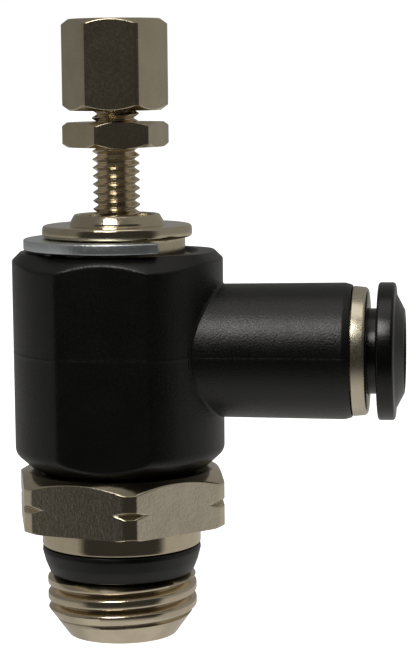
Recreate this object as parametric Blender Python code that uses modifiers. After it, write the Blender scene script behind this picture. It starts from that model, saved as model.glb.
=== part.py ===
"""Flow control valve: banjo elbow with a hollow screw-in stem, a swivelling body and a needle.

Frame: the origin is on the stem's axis at the shoulder that meets the port, +Z runs up the
stem to the adjusting knob, and +X runs out along the push-in tube port. Lengths in metres.
"""
import math

import bmesh
import bpy
from mathutils import Matrix, Vector

MM = 0.001

# ---- driving dimensions -------------------------------------------------------------------
ROUND = 30                      # facets round a large turned piece
BODY_ROUND = 36                 # facets round the swivel body
FINE = 20                       # facets round a small turned piece
RING_FACETS = 6                 # facets round the section of an elastomer ring
GAP = 0.10 * MM                 # running clearance between neighbours

# stem, from the thread's end upwards
THREAD_R = 6.45 * MM
THREAD_ROOT_R = 5.75 * MM
THREAD_CREST = 0.45 * MM        # width of the flat crest
THREAD_PITCH = 1.337 * MM
THREAD_END = -7.9 * MM
THREAD_END_R = 4.7 * MM
THREAD_CHAMFER = 2.4 * MM
SEAL_NECK_R = 5.65 * MM
SEAL_DEPTH = 2.45 * MM
SEAL_NOSE_R = 6.2 * MM          # the sealing ring's outside at its lower end
COLLAR_R = 6.85 * MM
COLLAR_TOP = 1.9 * MM
HEX_AF = 17.0 * MM
HEX_TOP = 6.55 * MM
HEX_TURN = math.radians(-76.0)  # direction of one corner
HEX_CORNER_R = 9.55 * MM        # radius that the corners are turned down to
HEX_TOP_FACE_R = 8.1 * MM
HEX_TOP_CHAMFER = 0.85 * MM
HEX_FOOT_FACE_R = 9.3 * MM
HEX_FOOT_CHAMFER = 0.14 * MM
HEX_NOTCH_Z = 4.02 * MM
HEX_NOTCH_R = 9.12 * MM         # radius of the notch's root
HEX_NOTCH_SLOPE = 0.72          # half the notch's width over its depth
LAND_R = 6.40 * MM
SHANK_R = 4.70 * MM
RING_GROOVE_R = 5.45 * MM
RING_GROOVE_WIDTH = 1.3 * MM
LOWER_GROOVE_Z = 7.95 * MM
UPPER_GROOVE_Z = 23.6 * MM
LOWER_LAND_TOP = 9.0 * MM
UPPER_LAND_BOTTOM = 22.3 * MM
UPPER_LAND_TOP = 24.9 * MM
CHECK_GROOVE_R = 4.05 * MM
CHECK_GROOVE_BOTTOM = 11.0 * MM
CHECK_GROOVE_TOP = 12.6 * MM
NECK_R = 5.80 * MM
FLANGE_R = 6.40 * MM
FLANGE_BOTTOM = 26.42 * MM
FLANGE_TOP = 27.45 * MM
BOSS_BASE_R = 4.0 * MM
BOSS_TOP_R = 3.65 * MM
STEM_TOP = 28.35 * MM

# passages inside the stem
INLET_R = 3.4 * MM
INLET_TOP = 12.7 * MM
CHAMBER_R = 2.35 * MM
POCKET_R = 3.3 * MM
POCKET_BOTTOM = 22.5 * MM
UPPER_WINDOW_Z = 13.9 * MM
UPPER_WINDOW_R = 1.0 * MM
LOWER_WINDOW_Z = 10.0 * MM
LOWER_WINDOW_R = 0.85 * MM
THROAT_R = 1.55 * MM

# swivel body and its tube port
BODY_R = 9.0 * MM
BODY_FLAT = 8.14 * MM           # distance of the two flats from the axis
BODY_BOTTOM = 6.8 * MM
BODY_TOP = 25.2 * MM
BODY_BORE_R = 6.55 * MM
BODY_MOUTH_R = 7.0 * MM
BODY_TOP_FACE_R = 7.4 * MM
BODY_FOOT_FACE_R = 7.6 * MM
BODY_TOP_CHAMFER = 1.24 * MM
BODY_FOOT_CHAMFER = 1.25 * MM
PORT_Z = 16.7 * MM
PORT_R = 5.79 * MM              # at the port's mouth
PORT_ROOT_R = 5.69 * MM         # where the port leaves the barrel
PORT_BEVEL_R = 5.62 * MM        # outside of the bevelled end face
PORT_BEVEL = 0.6 * MM
PORT_END = 20.05 * MM
CARTRIDGE_BORE_R = 4.7 * MM
CARTRIDGE_SEAT = 12.8 * MM
TUBE_GUIDE_R = 3.1 * MM
TUBE_STOP = 10.5 * MM
PASSAGE_R = 2.2 * MM

# push-in cartridge, measured out along the port
COVER_R = 5.55 * MM
COVER_NOSE_R = 5.4 * MM         # at the start of its rolled edge
COVER_ROLL = 0.35 * MM
COVER_END = 21.4 * MM
SLEEVE_R = 4.6 * MM
SLEEVE_START = 16.35 * MM
BUTTON_R = 5.86 * MM
BUTTON_BACK = 22.25 * MM
BUTTON_FRONT = 23.75 * MM       # where the disc's front face starts to rise
BUTTON_END = 24.45 * MM
BUTTON_END_R = 3.54 * MM
BUTTON_NECK_R = 3.62 * MM
BUTTON_BARB_R = 4.05 * MM
BUTTON_NOSE_R = 3.35 * MM
BUTTON_BORE_R = 3.08 * MM
BUTTON_NOSE = 16.9 * MM
TOOTH_TIP_R = 2.98 * MM
TOOTH_COUNT = 8

# needle, knob and lock nut
SCREW_R = 2.0 * MM
SCREW_ROOT_R = 1.62 * MM
SCREW_CREST = 0.1 * MM
SCREW_PITCH = 0.7 * MM
SCREW_FACETS = 12
SCREW_BOTTOM = 23.3 * MM
SPIGOT_R = 1.5 * MM             # plain end of the needle, pressed into the knob
SOCKET_R = 1.6 * MM
KNOB_AF = 8.0 * MM
KNOB_BOTTOM = 37.12 * MM
KNOB_TOP = 44.8 * MM
KNOB_TURN = math.radians(-116.0)
KNOB_CORNER_R = 4.5 * MM
KNOB_FACE_R = 3.88 * MM         # flat part of the knob's end faces
KNOB_CHAMFER = 0.45 * MM
NUT_BOTTOM = 34.05 * MM
NUT_TOP = 36.15 * MM
NUT_CORNER_R = 4.55 * MM
NUT_FACE_R = 4.12 * MM
NUT_CHAMFER = 0.3 * MM
NUT_TURN = math.radians(-102.4)
NEEDLE_LAND_R = 2.25 * MM
NEEDLE_GROOVE_R = 1.35 * MM
NEEDLE_GROOVE_Z = 20.7 * MM
NEEDLE_GROOVE_HALF = 0.6 * MM
NEEDLE_LAND_BOTTOM = 19.2 * MM
STALK_R = 1.45 * MM
TAPER_START = 17.2 * MM
NEEDLE_TIP = 14.0 * MM
NEEDLE_TIP_R = 0.45 * MM

# retaining clip
CLIP_R = 8.0 * MM
CLIP_SLOT = 5.92 * MM           # half the slot, just over the neck's radius
CLIP_ARM_END = 4.5 * MM
CLIP_BOTTOM = 25.43 * MM
CLIP_TOP = 26.32 * MM

# guide bush in the pocket
BUSH_TOP = 26.6 * MM
BUSH_GROOVE_R = 2.62 * MM
BUSH_GROOVE_BOTTOM = 23.4 * MM
BUSH_GROOVE_TOP = 24.4 * MM


# ---- helpers ------------------------------------------------------------------------------
def clear_scene():
    """Remove whatever the start-up file holds."""
    for old in list(bpy.data.objects):
        bpy.data.objects.remove(old, do_unlink=True)


def new_collection(name):
    """A collection linked to the scene."""
    collection = bpy.data.collections.new(name)
    bpy.context.scene.collection.children.link(collection)
    return collection


def principled(name, colour, metallic, roughness):
    """A Principled material with a plain colour."""
    material = bpy.data.materials.new(name)
    material.use_nodes = True
    shader = material.node_tree.nodes["Principled BSDF"]
    shader.inputs["Base Color"].default_value = (*colour, 1.0)
    shader.inputs["Metallic"].default_value = metallic
    shader.inputs["Roughness"].default_value = roughness
    return material


def add_object(name, data, collection, parent=None):
    """Link a new object, under a parent if there is one."""
    thing = bpy.data.objects.new(name, data)
    collection.objects.link(thing)
    thing.parent = parent
    return thing


def as_cutter(thing):
    """Mark a helper shape that only cuts or joins."""
    thing.hide_render = True
    thing.display_type = "WIRE"
    return thing


def finish_part(thing, material, sharp_degrees=30.0):
    """Give a part its material and smooth shading with sharp edges kept."""
    thing.data.materials.clear()
    thing.data.materials.append(material)
    if len(thing.data.polygons) > 0:
        thing.data.shade_smooth()
        thing.data.set_sharp_from_angle(angle=math.radians(sharp_degrees))
    return thing


def turned(name, profile, collection, parent=None, facets=ROUND):
    """Turn a closed profile of (radius, height) points about the local Z axis.

    The profile runs down its outer side, top to bottom, and back up on the inside.
    """
    mesh = bpy.data.meshes.new(name)
    points = [(radius, 0.0, height) for radius, height in profile]
    edges = [(i, i + 1) for i in range(len(points) - 1)]
    if profile[0][0] > 0.0 or profile[-1][0] > 0.0:
        edges.append((len(points) - 1, 0))
    mesh.from_pydata(points, edges, [])
    thing = add_object(name, mesh, collection, parent)
    screw = thing.modifiers.new("turn", "SCREW")
    screw.axis = "Z"
    screw.angle = math.tau
    screw.steps = facets
    screw.render_steps = facets
    screw.use_merge_vertices = True
    screw.merge_threshold = 0.000001
    screw.use_smooth_shade = True
    return thing


def settle(thing):
    """Replace an object's mesh with its evaluated mesh, and drop its modifiers."""
    depsgraph = bpy.context.evaluated_depsgraph_get()
    mesh = bpy.data.meshes.new_from_object(thing.evaluated_get(depsgraph))
    thing.modifiers.clear()
    thing.data = mesh
    return thing


def boolean(target, tool, operation="DIFFERENCE"):
    """Add an exact Boolean modifier."""
    modifier = target.modifiers.new(tool.name, "BOOLEAN")
    modifier.object = tool
    modifier.operation = operation
    modifier.solver = "EXACT"


def hexagon(name, across_flats, bottom, top, corner_angle, collection):
    """A hexagonal prism with one corner in the given direction."""
    mesh = bpy.data.meshes.new(name)
    shape = bmesh.new()
    radius = across_flats / math.sqrt(3.0)
    bmesh.ops.create_cone(
        shape, cap_ends=True, segments=6, radius1=radius, radius2=radius, depth=top - bottom
    )
    first = max(shape.verts, key=lambda vert: vert.co.x)
    start = math.atan2(first.co.y, first.co.x)
    turn = Matrix.Rotation(corner_angle - start, 3, "Z")
    bmesh.ops.rotate(shape, cent=(0, 0, 0), matrix=turn, verts=shape.verts)
    bmesh.ops.translate(shape, vec=(0, 0, (top + bottom) / 2), verts=shape.verts)
    shape.to_mesh(mesh)
    shape.free()
    return add_object(name, mesh, collection)


def threaded_rod(name, crest_r, root_r, crest, pitch, blank_profile, steps, collection):
    """A right-hand threaded rod, trimmed to a turned blank, as a solid to be joined on."""
    top = blank_profile[0][1]
    bottom = blank_profile[-1][1]
    turns = math.ceil((top - bottom) / pitch) + 2
    start = bottom - 1.5 * pitch
    flank = (pitch - crest) / 2
    profile = [
        (root_r, start + pitch),
        (crest_r, start + pitch - flank),
        (crest_r, start + flank),
        (root_r, start),
    ]
    mesh = bpy.data.meshes.new(name)
    mesh.from_pydata([(x, 0.0, z) for x, z in profile], [(0, 1), (1, 2), (2, 3)], [])
    rod = add_object(name, mesh, collection)
    screw = rod.modifiers.new("helix", "SCREW")
    screw.axis = "Z"
    screw.angle = math.tau
    screw.screw_offset = pitch
    screw.iterations = turns
    screw.steps = steps
    screw.render_steps = steps
    screw.use_merge_vertices = True
    screw.merge_threshold = 0.000001
    settle(rod)
    shape = bmesh.new()
    shape.from_mesh(rod.data)
    bmesh.ops.remove_doubles(shape, verts=shape.verts, dist=0.000001)
    middle = (top + bottom) / 2
    low_end = shape.verts.new((0.0, 0.0, start))
    high_end = shape.verts.new((0.0, 0.0, start + (turns + 1) * pitch))
    for edge in [edge for edge in shape.edges if edge.is_boundary]:
        first, second = edge.verts
        tip = high_end if (first.co.z + second.co.z) / 2 > middle else low_end
        shape.faces.new((first, second, tip))
    bmesh.ops.recalc_face_normals(shape, faces=shape.faces)
    shape.to_mesh(rod.data)
    shape.free()
    blank = as_cutter(turned(name + "_blank", blank_profile, collection, facets=steps))
    boolean(rod, blank, "INTERSECT")
    return as_cutter(rod)


def spokes(name, count, centre, size, first_angle, collection, parent=None):
    """Boxes set round the local Z axis like spokes, as one cutter."""
    mesh = bpy.data.meshes.new(name)
    shape = bmesh.new()
    for i in range(count):
        made = bmesh.ops.create_cube(shape, size=1.0)["verts"]
        bmesh.ops.scale(shape, vec=size, verts=made)
        bmesh.ops.translate(shape, vec=centre, verts=made)
        turn = Matrix.Rotation(first_angle + i * math.tau / count, 3, "Z")
        bmesh.ops.rotate(shape, cent=(0, 0, 0), matrix=turn, verts=made)
    shape.to_mesh(mesh)
    shape.free()
    return as_cutter(add_object(name, mesh, collection, parent))


def cross_holes(name, radius, height, length, count, collection):
    """Round drills through the Z axis at one height, as one cutter for each drill."""
    drills = []
    for i in range(count):
        mesh = bpy.data.meshes.new(name)
        shape = bmesh.new()
        bmesh.ops.create_cone(
            shape, cap_ends=True, segments=12, radius1=radius, radius2=radius, depth=length
        )
        turn = Matrix.Rotation(math.pi / 4 + i * math.pi / count, 4, "Z")
        lay = turn @ Matrix.Rotation(math.pi / 2, 4, "Y")
        lift = Matrix.Translation(Vector((0, 0, height)))
        bmesh.ops.transform(shape, matrix=lift @ lay, verts=shape.verts)
        shape.to_mesh(mesh)
        shape.free()
        drills.append(as_cutter(add_object(f"{name}_{i + 1}", mesh, collection)))
    return drills


def ring_profile(inner, outer, low, high, facets=RING_FACETS):
    """The oval section of a squeezed elastomer ring, run down its outer side first."""
    middle_r = (inner + outer) / 2
    middle_z = (low + high) / 2
    rise = (high - low) / 2 / math.cos(math.pi / facets)
    points = []
    for i in range(facets):
        angle = math.pi / 2 - (i + 0.5) * math.tau / facets
        points.append((middle_r + (outer - inner) / 2 * math.cos(angle), middle_z + rise * math.sin(angle)))
    return points


def chamfered_blank(name, radius, bottom, top, top_face_r, top_rise, foot_face_r, foot_rise, collection):
    """A round bar with coned ends, which trims the corners of a hexagon."""
    profile = [
        (0.0, top),
        (top_face_r, top),
        (radius, top - top_rise),
        (radius, bottom + foot_rise),
        (foot_face_r, bottom),
        (0.0, bottom),
    ]
    return as_cutter(turned(name, profile, collection))


# ---- materials ----------------------------------------------------------------------------
def make_materials():
    """The finishes of the parts."""
    return {
        "nickel": principled("nickel_plated_brass", (0.46, 0.43, 0.36), 1.0, 0.30),
        "zinc": principled("zinc_plated_steel", (0.48, 0.50, 0.51), 1.0, 0.35),
        "plastic": principled("black_moulded_plastic", (0.018, 0.018, 0.016), 0.0, 0.45),
        "button": principled("black_button_plastic", (0.02, 0.02, 0.019), 0.0, 0.35),
        "rubber": principled("black_nitrile_rubber", (0.012, 0.012, 0.012), 0.0, 0.6),
        "brass": principled("plain_brass", (0.60, 0.45, 0.20), 1.0, 0.35),
        "stainless": principled("spring_stainless", (0.60, 0.60, 0.58), 1.0, 0.25),
        "natural": principled("natural_acetal", (0.75, 0.74, 0.70), 0.0, 0.5),
    }


# ---- stem -----------------------------------------------------------------------------------
def stem_outline():
    """The turned outside of the stem above the thread."""
    bevel = 0.15 * MM
    edge = 0.3 * MM
    half = RING_GROOVE_WIDTH / 2
    return [
        (0.0, STEM_TOP),
        (BOSS_TOP_R - bevel, STEM_TOP),
        (BOSS_TOP_R, STEM_TOP - bevel),
        (BOSS_BASE_R, FLANGE_TOP),
        (FLANGE_R - edge, FLANGE_TOP),
        (FLANGE_R, FLANGE_TOP - edge),
        (FLANGE_R, FLANGE_BOTTOM + edge),
        (FLANGE_R - edge, FLANGE_BOTTOM),
        (NECK_R, FLANGE_BOTTOM),
        (NECK_R, UPPER_LAND_TOP),
        (LAND_R, UPPER_LAND_TOP),
        (LAND_R, UPPER_GROOVE_Z + half),
        (RING_GROOVE_R, UPPER_GROOVE_Z + half),
        (RING_GROOVE_R, UPPER_GROOVE_Z - half),
        (LAND_R, UPPER_GROOVE_Z - half),
        (LAND_R, UPPER_LAND_BOTTOM),
        (SHANK_R, UPPER_LAND_BOTTOM),
        (SHANK_R, CHECK_GROOVE_TOP),
        (CHECK_GROOVE_R, CHECK_GROOVE_TOP),
        (CHECK_GROOVE_R, CHECK_GROOVE_BOTTOM),
        (SHANK_R, CHECK_GROOVE_BOTTOM),
        (SHANK_R, LOWER_LAND_TOP),
        (LAND_R, LOWER_LAND_TOP),
        (LAND_R, LOWER_GROOVE_Z + half),
        (RING_GROOVE_R, LOWER_GROOVE_Z + half),
        (RING_GROOVE_R, LOWER_GROOVE_Z - half),
        (LAND_R, LOWER_GROOVE_Z - half),
        (LAND_R, COLLAR_TOP + MM),
        (COLLAR_R, COLLAR_TOP + MM),
        (COLLAR_R, bevel),
        (COLLAR_R - bevel, 0.0),
        (SEAL_NECK_R, 0.0),
        (SEAL_NECK_R, -SEAL_DEPTH - 2 * MM),
        (0.0, -SEAL_DEPTH - 2 * MM),
    ]


def stem_passage():
    """The stepped bore from the inlet up to the pocket for the guide bush."""
    over = MM
    flare = 0.4 * MM
    return [
        (0.0, STEM_TOP + over),
        (POCKET_R, STEM_TOP + over),
        (POCKET_R, POCKET_BOTTOM),
        (CHAMBER_R, POCKET_BOTTOM),
        (CHAMBER_R, INLET_TOP),
        (INLET_R, INLET_TOP),
        (INLET_R, THREAD_END + flare),
        (INLET_R + flare + over, THREAD_END - over),
        (0.0, THREAD_END - over),
    ]


def make_stem_hexagon(cutters):
    """Spanner hexagon with turned corners and a notch cut round them."""
    hexagonal = hexagon("stem_hexagon", HEX_AF, COLLAR_TOP, HEX_TOP, HEX_TURN, cutters)
    blank = chamfered_blank(
        "stem_hexagon_blank", HEX_CORNER_R, COLLAR_TOP, HEX_TOP, HEX_TOP_FACE_R, HEX_TOP_CHAMFER,
        HEX_FOOT_FACE_R, HEX_FOOT_CHAMFER, cutters,
    )
    boolean(hexagonal, blank, "INTERSECT")
    clear_r = HEX_CORNER_R + 0.4 * MM
    half = (clear_r - HEX_NOTCH_R) * HEX_NOTCH_SLOPE
    notch = turned("corner_notch", [
        (clear_r, HEX_NOTCH_Z + half),
        (clear_r, HEX_NOTCH_Z - half),
        (HEX_NOTCH_R, HEX_NOTCH_Z),
    ], cutters)
    boolean(hexagonal, as_cutter(notch))
    return as_cutter(hexagonal)


def make_stem(parts, cutters, materials):
    """Hollow screw-in stem: thread, collar, spanner hexagon, lands, clip neck and flange."""
    stem = turned("threaded_stem", stem_outline(), parts)
    thread_top = -SEAL_DEPTH - GAP
    clear = 0.4 * MM
    slope = THREAD_CHAMFER / (THREAD_R - THREAD_END_R)
    thread = threaded_rod("port_thread", THREAD_R, THREAD_ROOT_R, THREAD_CREST, THREAD_PITCH, [
        (0.0, thread_top),
        (THREAD_R - 0.2 * MM, thread_top),
        (THREAD_R + clear, thread_top - 0.2 * MM - clear),
        (THREAD_R + clear, THREAD_END + THREAD_CHAMFER + clear * slope),
        (THREAD_END_R, THREAD_END),
        (0.0, THREAD_END),
    ], ROUND, cutters)
    boolean(stem, make_stem_hexagon(cutters), "UNION")
    boolean(stem, thread, "UNION")
    boolean(stem, as_cutter(turned("stem_passage", stem_passage(), cutters)))
    for drill in cross_holes("upper_window", UPPER_WINDOW_R, UPPER_WINDOW_Z, 12 * MM, 2, cutters):
        boolean(stem, drill)
    for drill in cross_holes("lower_window", LOWER_WINDOW_R, LOWER_WINDOW_Z, 12 * MM, 2, cutters):
        boolean(stem, drill)
    finish_part(stem, materials["nickel"])


def make_sealing_ring(parts, materials):
    """Tapered ring under the collar, which seals the thread against the port."""
    top = -GAP
    profile = [
        (COLLAR_R - 0.1 * MM, top),
        (COLLAR_R, top - 0.35 * MM),
        (COLLAR_R - 0.35 * MM, top - 1.4 * MM),
        (SEAL_NOSE_R, -SEAL_DEPTH),
        (SEAL_NECK_R + GAP, -SEAL_DEPTH),
        (SEAL_NECK_R + GAP, top),
    ]
    ring = turned("port_sealing_ring", profile, parts)
    finish_part(ring, materials["rubber"])


# ---- swivel body ------------------------------------------------------------------------------
def make_body(parts, cutters, materials, port_axis):
    """Moulded swivel body: a round barrel with two flats and the tube port."""
    profile = [
        (0.0, BODY_TOP),
        (BODY_TOP_FACE_R, BODY_TOP),
        (BODY_R, BODY_TOP - BODY_TOP_CHAMFER),
        (BODY_R, BODY_BOTTOM + BODY_FOOT_CHAMFER),
        (BODY_FOOT_FACE_R, BODY_BOTTOM),
        (0.0, BODY_BOTTOM),
    ]
    body = turned("swivel_body", profile, parts, facets=BODY_ROUND)
    slab = 4 * MM
    flats = spokes(
        "body_flats", 2, (BODY_FLAT + slab / 2, 0, (BODY_TOP + BODY_BOTTOM) / 2),
        (slab, 14 * MM, 24 * MM), math.pi / 2, cutters,
    )
    boolean(body, flats)
    port = as_cutter(turned("port_outside", [
        (0.0, PORT_END),
        (PORT_BEVEL_R, PORT_END),
        (PORT_R, PORT_END - PORT_BEVEL),
        (PORT_ROOT_R, BODY_R),
        (PORT_ROOT_R, 4 * MM),
        (0.0, 4 * MM),
    ], cutters, port_axis))
    boolean(body, port, "UNION")
    over = MM
    bore = as_cutter(turned("body_bore", [
        (0.0, BODY_TOP + over),
        (BODY_MOUTH_R + over, BODY_TOP + over),
        (BODY_BORE_R, BODY_TOP - (BODY_MOUTH_R - BODY_BORE_R)),
        (BODY_BORE_R, BODY_BOTTOM + 0.4 * MM),
        (BODY_BORE_R + 0.4 * MM + over, BODY_BOTTOM - over),
        (0.0, BODY_BOTTOM - over),
    ], cutters, facets=BODY_ROUND))
    boolean(body, bore)
    port_bore = as_cutter(turned("port_bore", [
        (0.0, PORT_END + over),
        (CARTRIDGE_BORE_R, PORT_END + over),
        (CARTRIDGE_BORE_R, CARTRIDGE_SEAT),
        (TUBE_GUIDE_R, CARTRIDGE_SEAT),
        (TUBE_GUIDE_R, TUBE_STOP),
        (PASSAGE_R, TUBE_STOP),
        (PASSAGE_R, 3 * MM),
        (0.0, 3 * MM),
    ], cutters, port_axis))
    boolean(body, port_bore)
    finish_part(body, materials["plastic"])


def make_body_rings(parts, materials):
    """The two rings that seal the body on the stem while it turns."""
    squeeze = 0.05 * MM
    half = RING_GROOVE_WIDTH / 2 - 0.08 * MM
    for name, height in (("lower_body_o_ring", LOWER_GROOVE_Z), ("upper_body_o_ring", UPPER_GROOVE_Z)):
        section = ring_profile(RING_GROOVE_R + squeeze, BODY_BORE_R - squeeze, height - half, height + half)
        finish_part(turned(name, section, parts), materials["rubber"], 60.0)


def make_check_seal(parts, materials):
    """Lip seal round the stem: its skirt lets flow pass one way, towards the thread."""
    touch = 0.08 * MM
    root_r = SHANK_R + 0.2 * MM
    lip_end = CHECK_GROOVE_BOTTOM - 0.25 * MM
    lip_thick = 0.37 * MM
    profile = [
        (root_r, CHECK_GROOVE_TOP - GAP),
        (root_r + 0.3 * MM, CHECK_GROOVE_TOP - 0.7 * MM),
        (BODY_BORE_R - touch, lip_end + 0.4 * MM),
        (BODY_BORE_R - touch, lip_end),
        (BODY_BORE_R - touch - lip_thick, lip_end),
        (root_r + 0.2 * MM, lip_end + 0.6 * MM),
        (root_r, CHECK_GROOVE_BOTTOM + GAP),
        (CHECK_GROOVE_R + touch, CHECK_GROOVE_BOTTOM + GAP),
        (CHECK_GROOVE_R + touch, CHECK_GROOVE_TOP - GAP),
    ]
    finish_part(turned("check_lip_seal", profile, parts), materials["rubber"])


def make_clip(parts, materials):
    """Flat horseshoe clip between the body's top face and the stem's flange."""
    outline = []
    end_angle = math.acos(CLIP_ARM_END / CLIP_R)
    outer_steps = 32
    for i in range(outer_steps + 1):
        angle = end_angle + i * (math.tau - 2 * end_angle) / outer_steps
        outline.append((CLIP_R * math.cos(angle), CLIP_R * math.sin(angle)))
    inner_steps = 20
    outline.append((CLIP_ARM_END, -CLIP_SLOT))
    for i in range(inner_steps + 1):
        angle = -math.pi / 2 - i * math.pi / inner_steps
        outline.append((CLIP_SLOT * math.cos(angle), CLIP_SLOT * math.sin(angle)))
    outline.append((CLIP_ARM_END, CLIP_SLOT))
    curve = bpy.data.curves.new("retaining_clip", "CURVE")
    curve.dimensions = "2D"
    curve.fill_mode = "BOTH"
    curve.extrude = (CLIP_TOP - CLIP_BOTTOM) / 2
    spline = curve.splines.new("POLY")
    spline.points.add(len(outline) - 1)
    for point, (x, y) in zip(spline.points, outline):
        point.co = (x, y, 0.0, 1.0)
    spline.use_cyclic_u = True
    clip = add_object("retaining_clip", curve, parts)
    clip.location.z = (CLIP_TOP + CLIP_BOTTOM) / 2
    curve.materials.append(materials["zinc"])


# ---- needle group -------------------------------------------------------------------------------
def make_needle(parts, cutters, materials):
    """Metering needle: threaded shank, seal land and long taper, stopped under the guide bush."""
    half = NEEDLE_GROOVE_HALF
    spigot_top = KNOB_TOP - 1.6 * MM
    core_r = 1.42 * MM
    undercut_r = SCREW_ROOT_R - 0.1 * MM
    stop = POCKET_BOTTOM - GAP
    profile = [
        (0.0, spigot_top),
        (SPIGOT_R, spigot_top),
        (SPIGOT_R, KNOB_BOTTOM - MM),
        (core_r, KNOB_BOTTOM - MM),
        (core_r, SCREW_BOTTOM + MM),
        (undercut_r, SCREW_BOTTOM + 0.5 * MM),
        (undercut_r, stop),
        (NEEDLE_LAND_R, stop),
        (NEEDLE_LAND_R, NEEDLE_GROOVE_Z + half),
        (NEEDLE_GROOVE_R, NEEDLE_GROOVE_Z + half),
        (NEEDLE_GROOVE_R, NEEDLE_GROOVE_Z - half),
        (NEEDLE_LAND_R, NEEDLE_GROOVE_Z - half),
        (NEEDLE_LAND_R, NEEDLE_LAND_BOTTOM),
        (STALK_R, NEEDLE_LAND_BOTTOM - 0.2 * MM),
        (STALK_R, TAPER_START),
        (NEEDLE_TIP_R + 0.3 * MM, NEEDLE_TIP + 0.3 * MM),
        (NEEDLE_TIP_R, NEEDLE_TIP),
        (0.0, NEEDLE_TIP),
    ]
    needle = turned("metering_needle", profile, parts, facets=SCREW_FACETS)
    screw_top = KNOB_BOTTOM + 0.4 * MM
    clear = 0.2 * MM
    bevel = 0.3 * MM
    thread = threaded_rod("needle_thread", SCREW_R, SCREW_ROOT_R, SCREW_CREST, SCREW_PITCH, [
        (0.0, screw_top),
        (SCREW_R - bevel, screw_top),
        (SCREW_R + clear, screw_top - bevel - clear),
        (SCREW_R + clear, SCREW_BOTTOM + bevel + clear),
        (SCREW_R - bevel, SCREW_BOTTOM),
        (0.0, SCREW_BOTTOM),
    ], SCREW_FACETS, cutters)
    boolean(needle, thread, "UNION")
    finish_part(needle, materials["nickel"])


def make_needle_ring(parts, materials):
    """Ring on the needle's land, which seals the stem's chamber."""
    squeeze = 0.04 * MM
    half = NEEDLE_GROOVE_HALF - 0.08 * MM
    section = ring_profile(
        NEEDLE_GROOVE_R + squeeze, CHAMBER_R - squeeze, NEEDLE_GROOVE_Z - half, NEEDLE_GROOVE_Z + half
    )
    finish_part(turned("needle_o_ring", section, parts, facets=FINE), materials["rubber"], 60.0)


def make_knob(parts, cutters, materials):
    """Hexagonal knob fixed on the needle's top."""
    knob = hexagon("adjusting_knob", KNOB_AF, KNOB_BOTTOM, KNOB_TOP, KNOB_TURN, parts)
    blank = chamfered_blank(
        "knob_blank", KNOB_CORNER_R, KNOB_BOTTOM, KNOB_TOP, KNOB_FACE_R, KNOB_CHAMFER,
        KNOB_FACE_R, KNOB_CHAMFER, cutters,
    )
    boolean(knob, blank, "INTERSECT")
    socket = as_cutter(turned("knob_socket", [
        (0.0, KNOB_TOP - 1.5 * MM),
        (SOCKET_R, KNOB_TOP - 1.5 * MM),
        (SOCKET_R, KNOB_BOTTOM + 0.7 * MM),
        (SCREW_R + GAP, KNOB_BOTTOM + 0.45 * MM),
        (SCREW_R + GAP, KNOB_BOTTOM - MM),
        (0.0, KNOB_BOTTOM - MM),
    ], cutters, facets=FINE))
    boolean(knob, socket)
    finish_part(knob, materials["nickel"])


def make_lock_nut(parts, cutters, materials):
    """Thin hexagonal nut that locks the needle against the boss."""
    nut = hexagon("lock_nut", KNOB_AF, NUT_BOTTOM, NUT_TOP, NUT_TURN, parts)
    blank = chamfered_blank(
        "lock_nut_blank", NUT_CORNER_R, NUT_BOTTOM, NUT_TOP, NUT_FACE_R, NUT_CHAMFER,
        NUT_FACE_R, NUT_CHAMFER, cutters,
    )
    boolean(nut, blank, "INTERSECT")
    over = MM
    bore = as_cutter(turned("lock_nut_bore", [
        (0.0, NUT_TOP + over),
        (SCREW_R + GAP + over, NUT_TOP + over),
        (SCREW_R + GAP, NUT_TOP - 0.25 * MM),
        (SCREW_R + GAP, NUT_BOTTOM + 0.25 * MM),
        (SCREW_R + GAP + over, NUT_BOTTOM - over),
        (0.0, NUT_BOTTOM - over),
    ], cutters, facets=FINE))
    boolean(nut, bore)
    finish_part(nut, materials["nickel"])


def make_guide_bush(parts, materials):
    """Bush in the stem's pocket that guides the needle's thread and stops the needle."""
    bottom = POCKET_BOTTOM + GAP
    outer = POCKET_R - 0.08 * MM
    profile = [
        (outer - 0.2 * MM, BUSH_TOP),
        (outer, BUSH_TOP - 0.2 * MM),
        (outer, BUSH_GROOVE_TOP),
        (BUSH_GROOVE_R, BUSH_GROOVE_TOP),
        (BUSH_GROOVE_R, BUSH_GROOVE_BOTTOM),
        (outer, BUSH_GROOVE_BOTTOM),
        (outer, bottom),
        (SCREW_R + GAP, bottom),
        (SCREW_R + GAP, BUSH_TOP - 0.3 * MM),
        (SCREW_R + GAP + 0.3 * MM, BUSH_TOP),
    ]
    finish_part(turned("needle_guide_bush", profile, parts, facets=FINE), materials["brass"])
    section = ring_profile(
        BUSH_GROOVE_R + 0.04 * MM, POCKET_R - 0.05 * MM,
        BUSH_GROOVE_BOTTOM + 0.06 * MM, BUSH_GROOVE_TOP - 0.06 * MM,
    )
    finish_part(turned("guide_bush_o_ring", section, parts, facets=FINE), materials["rubber"], 60.0)


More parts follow.
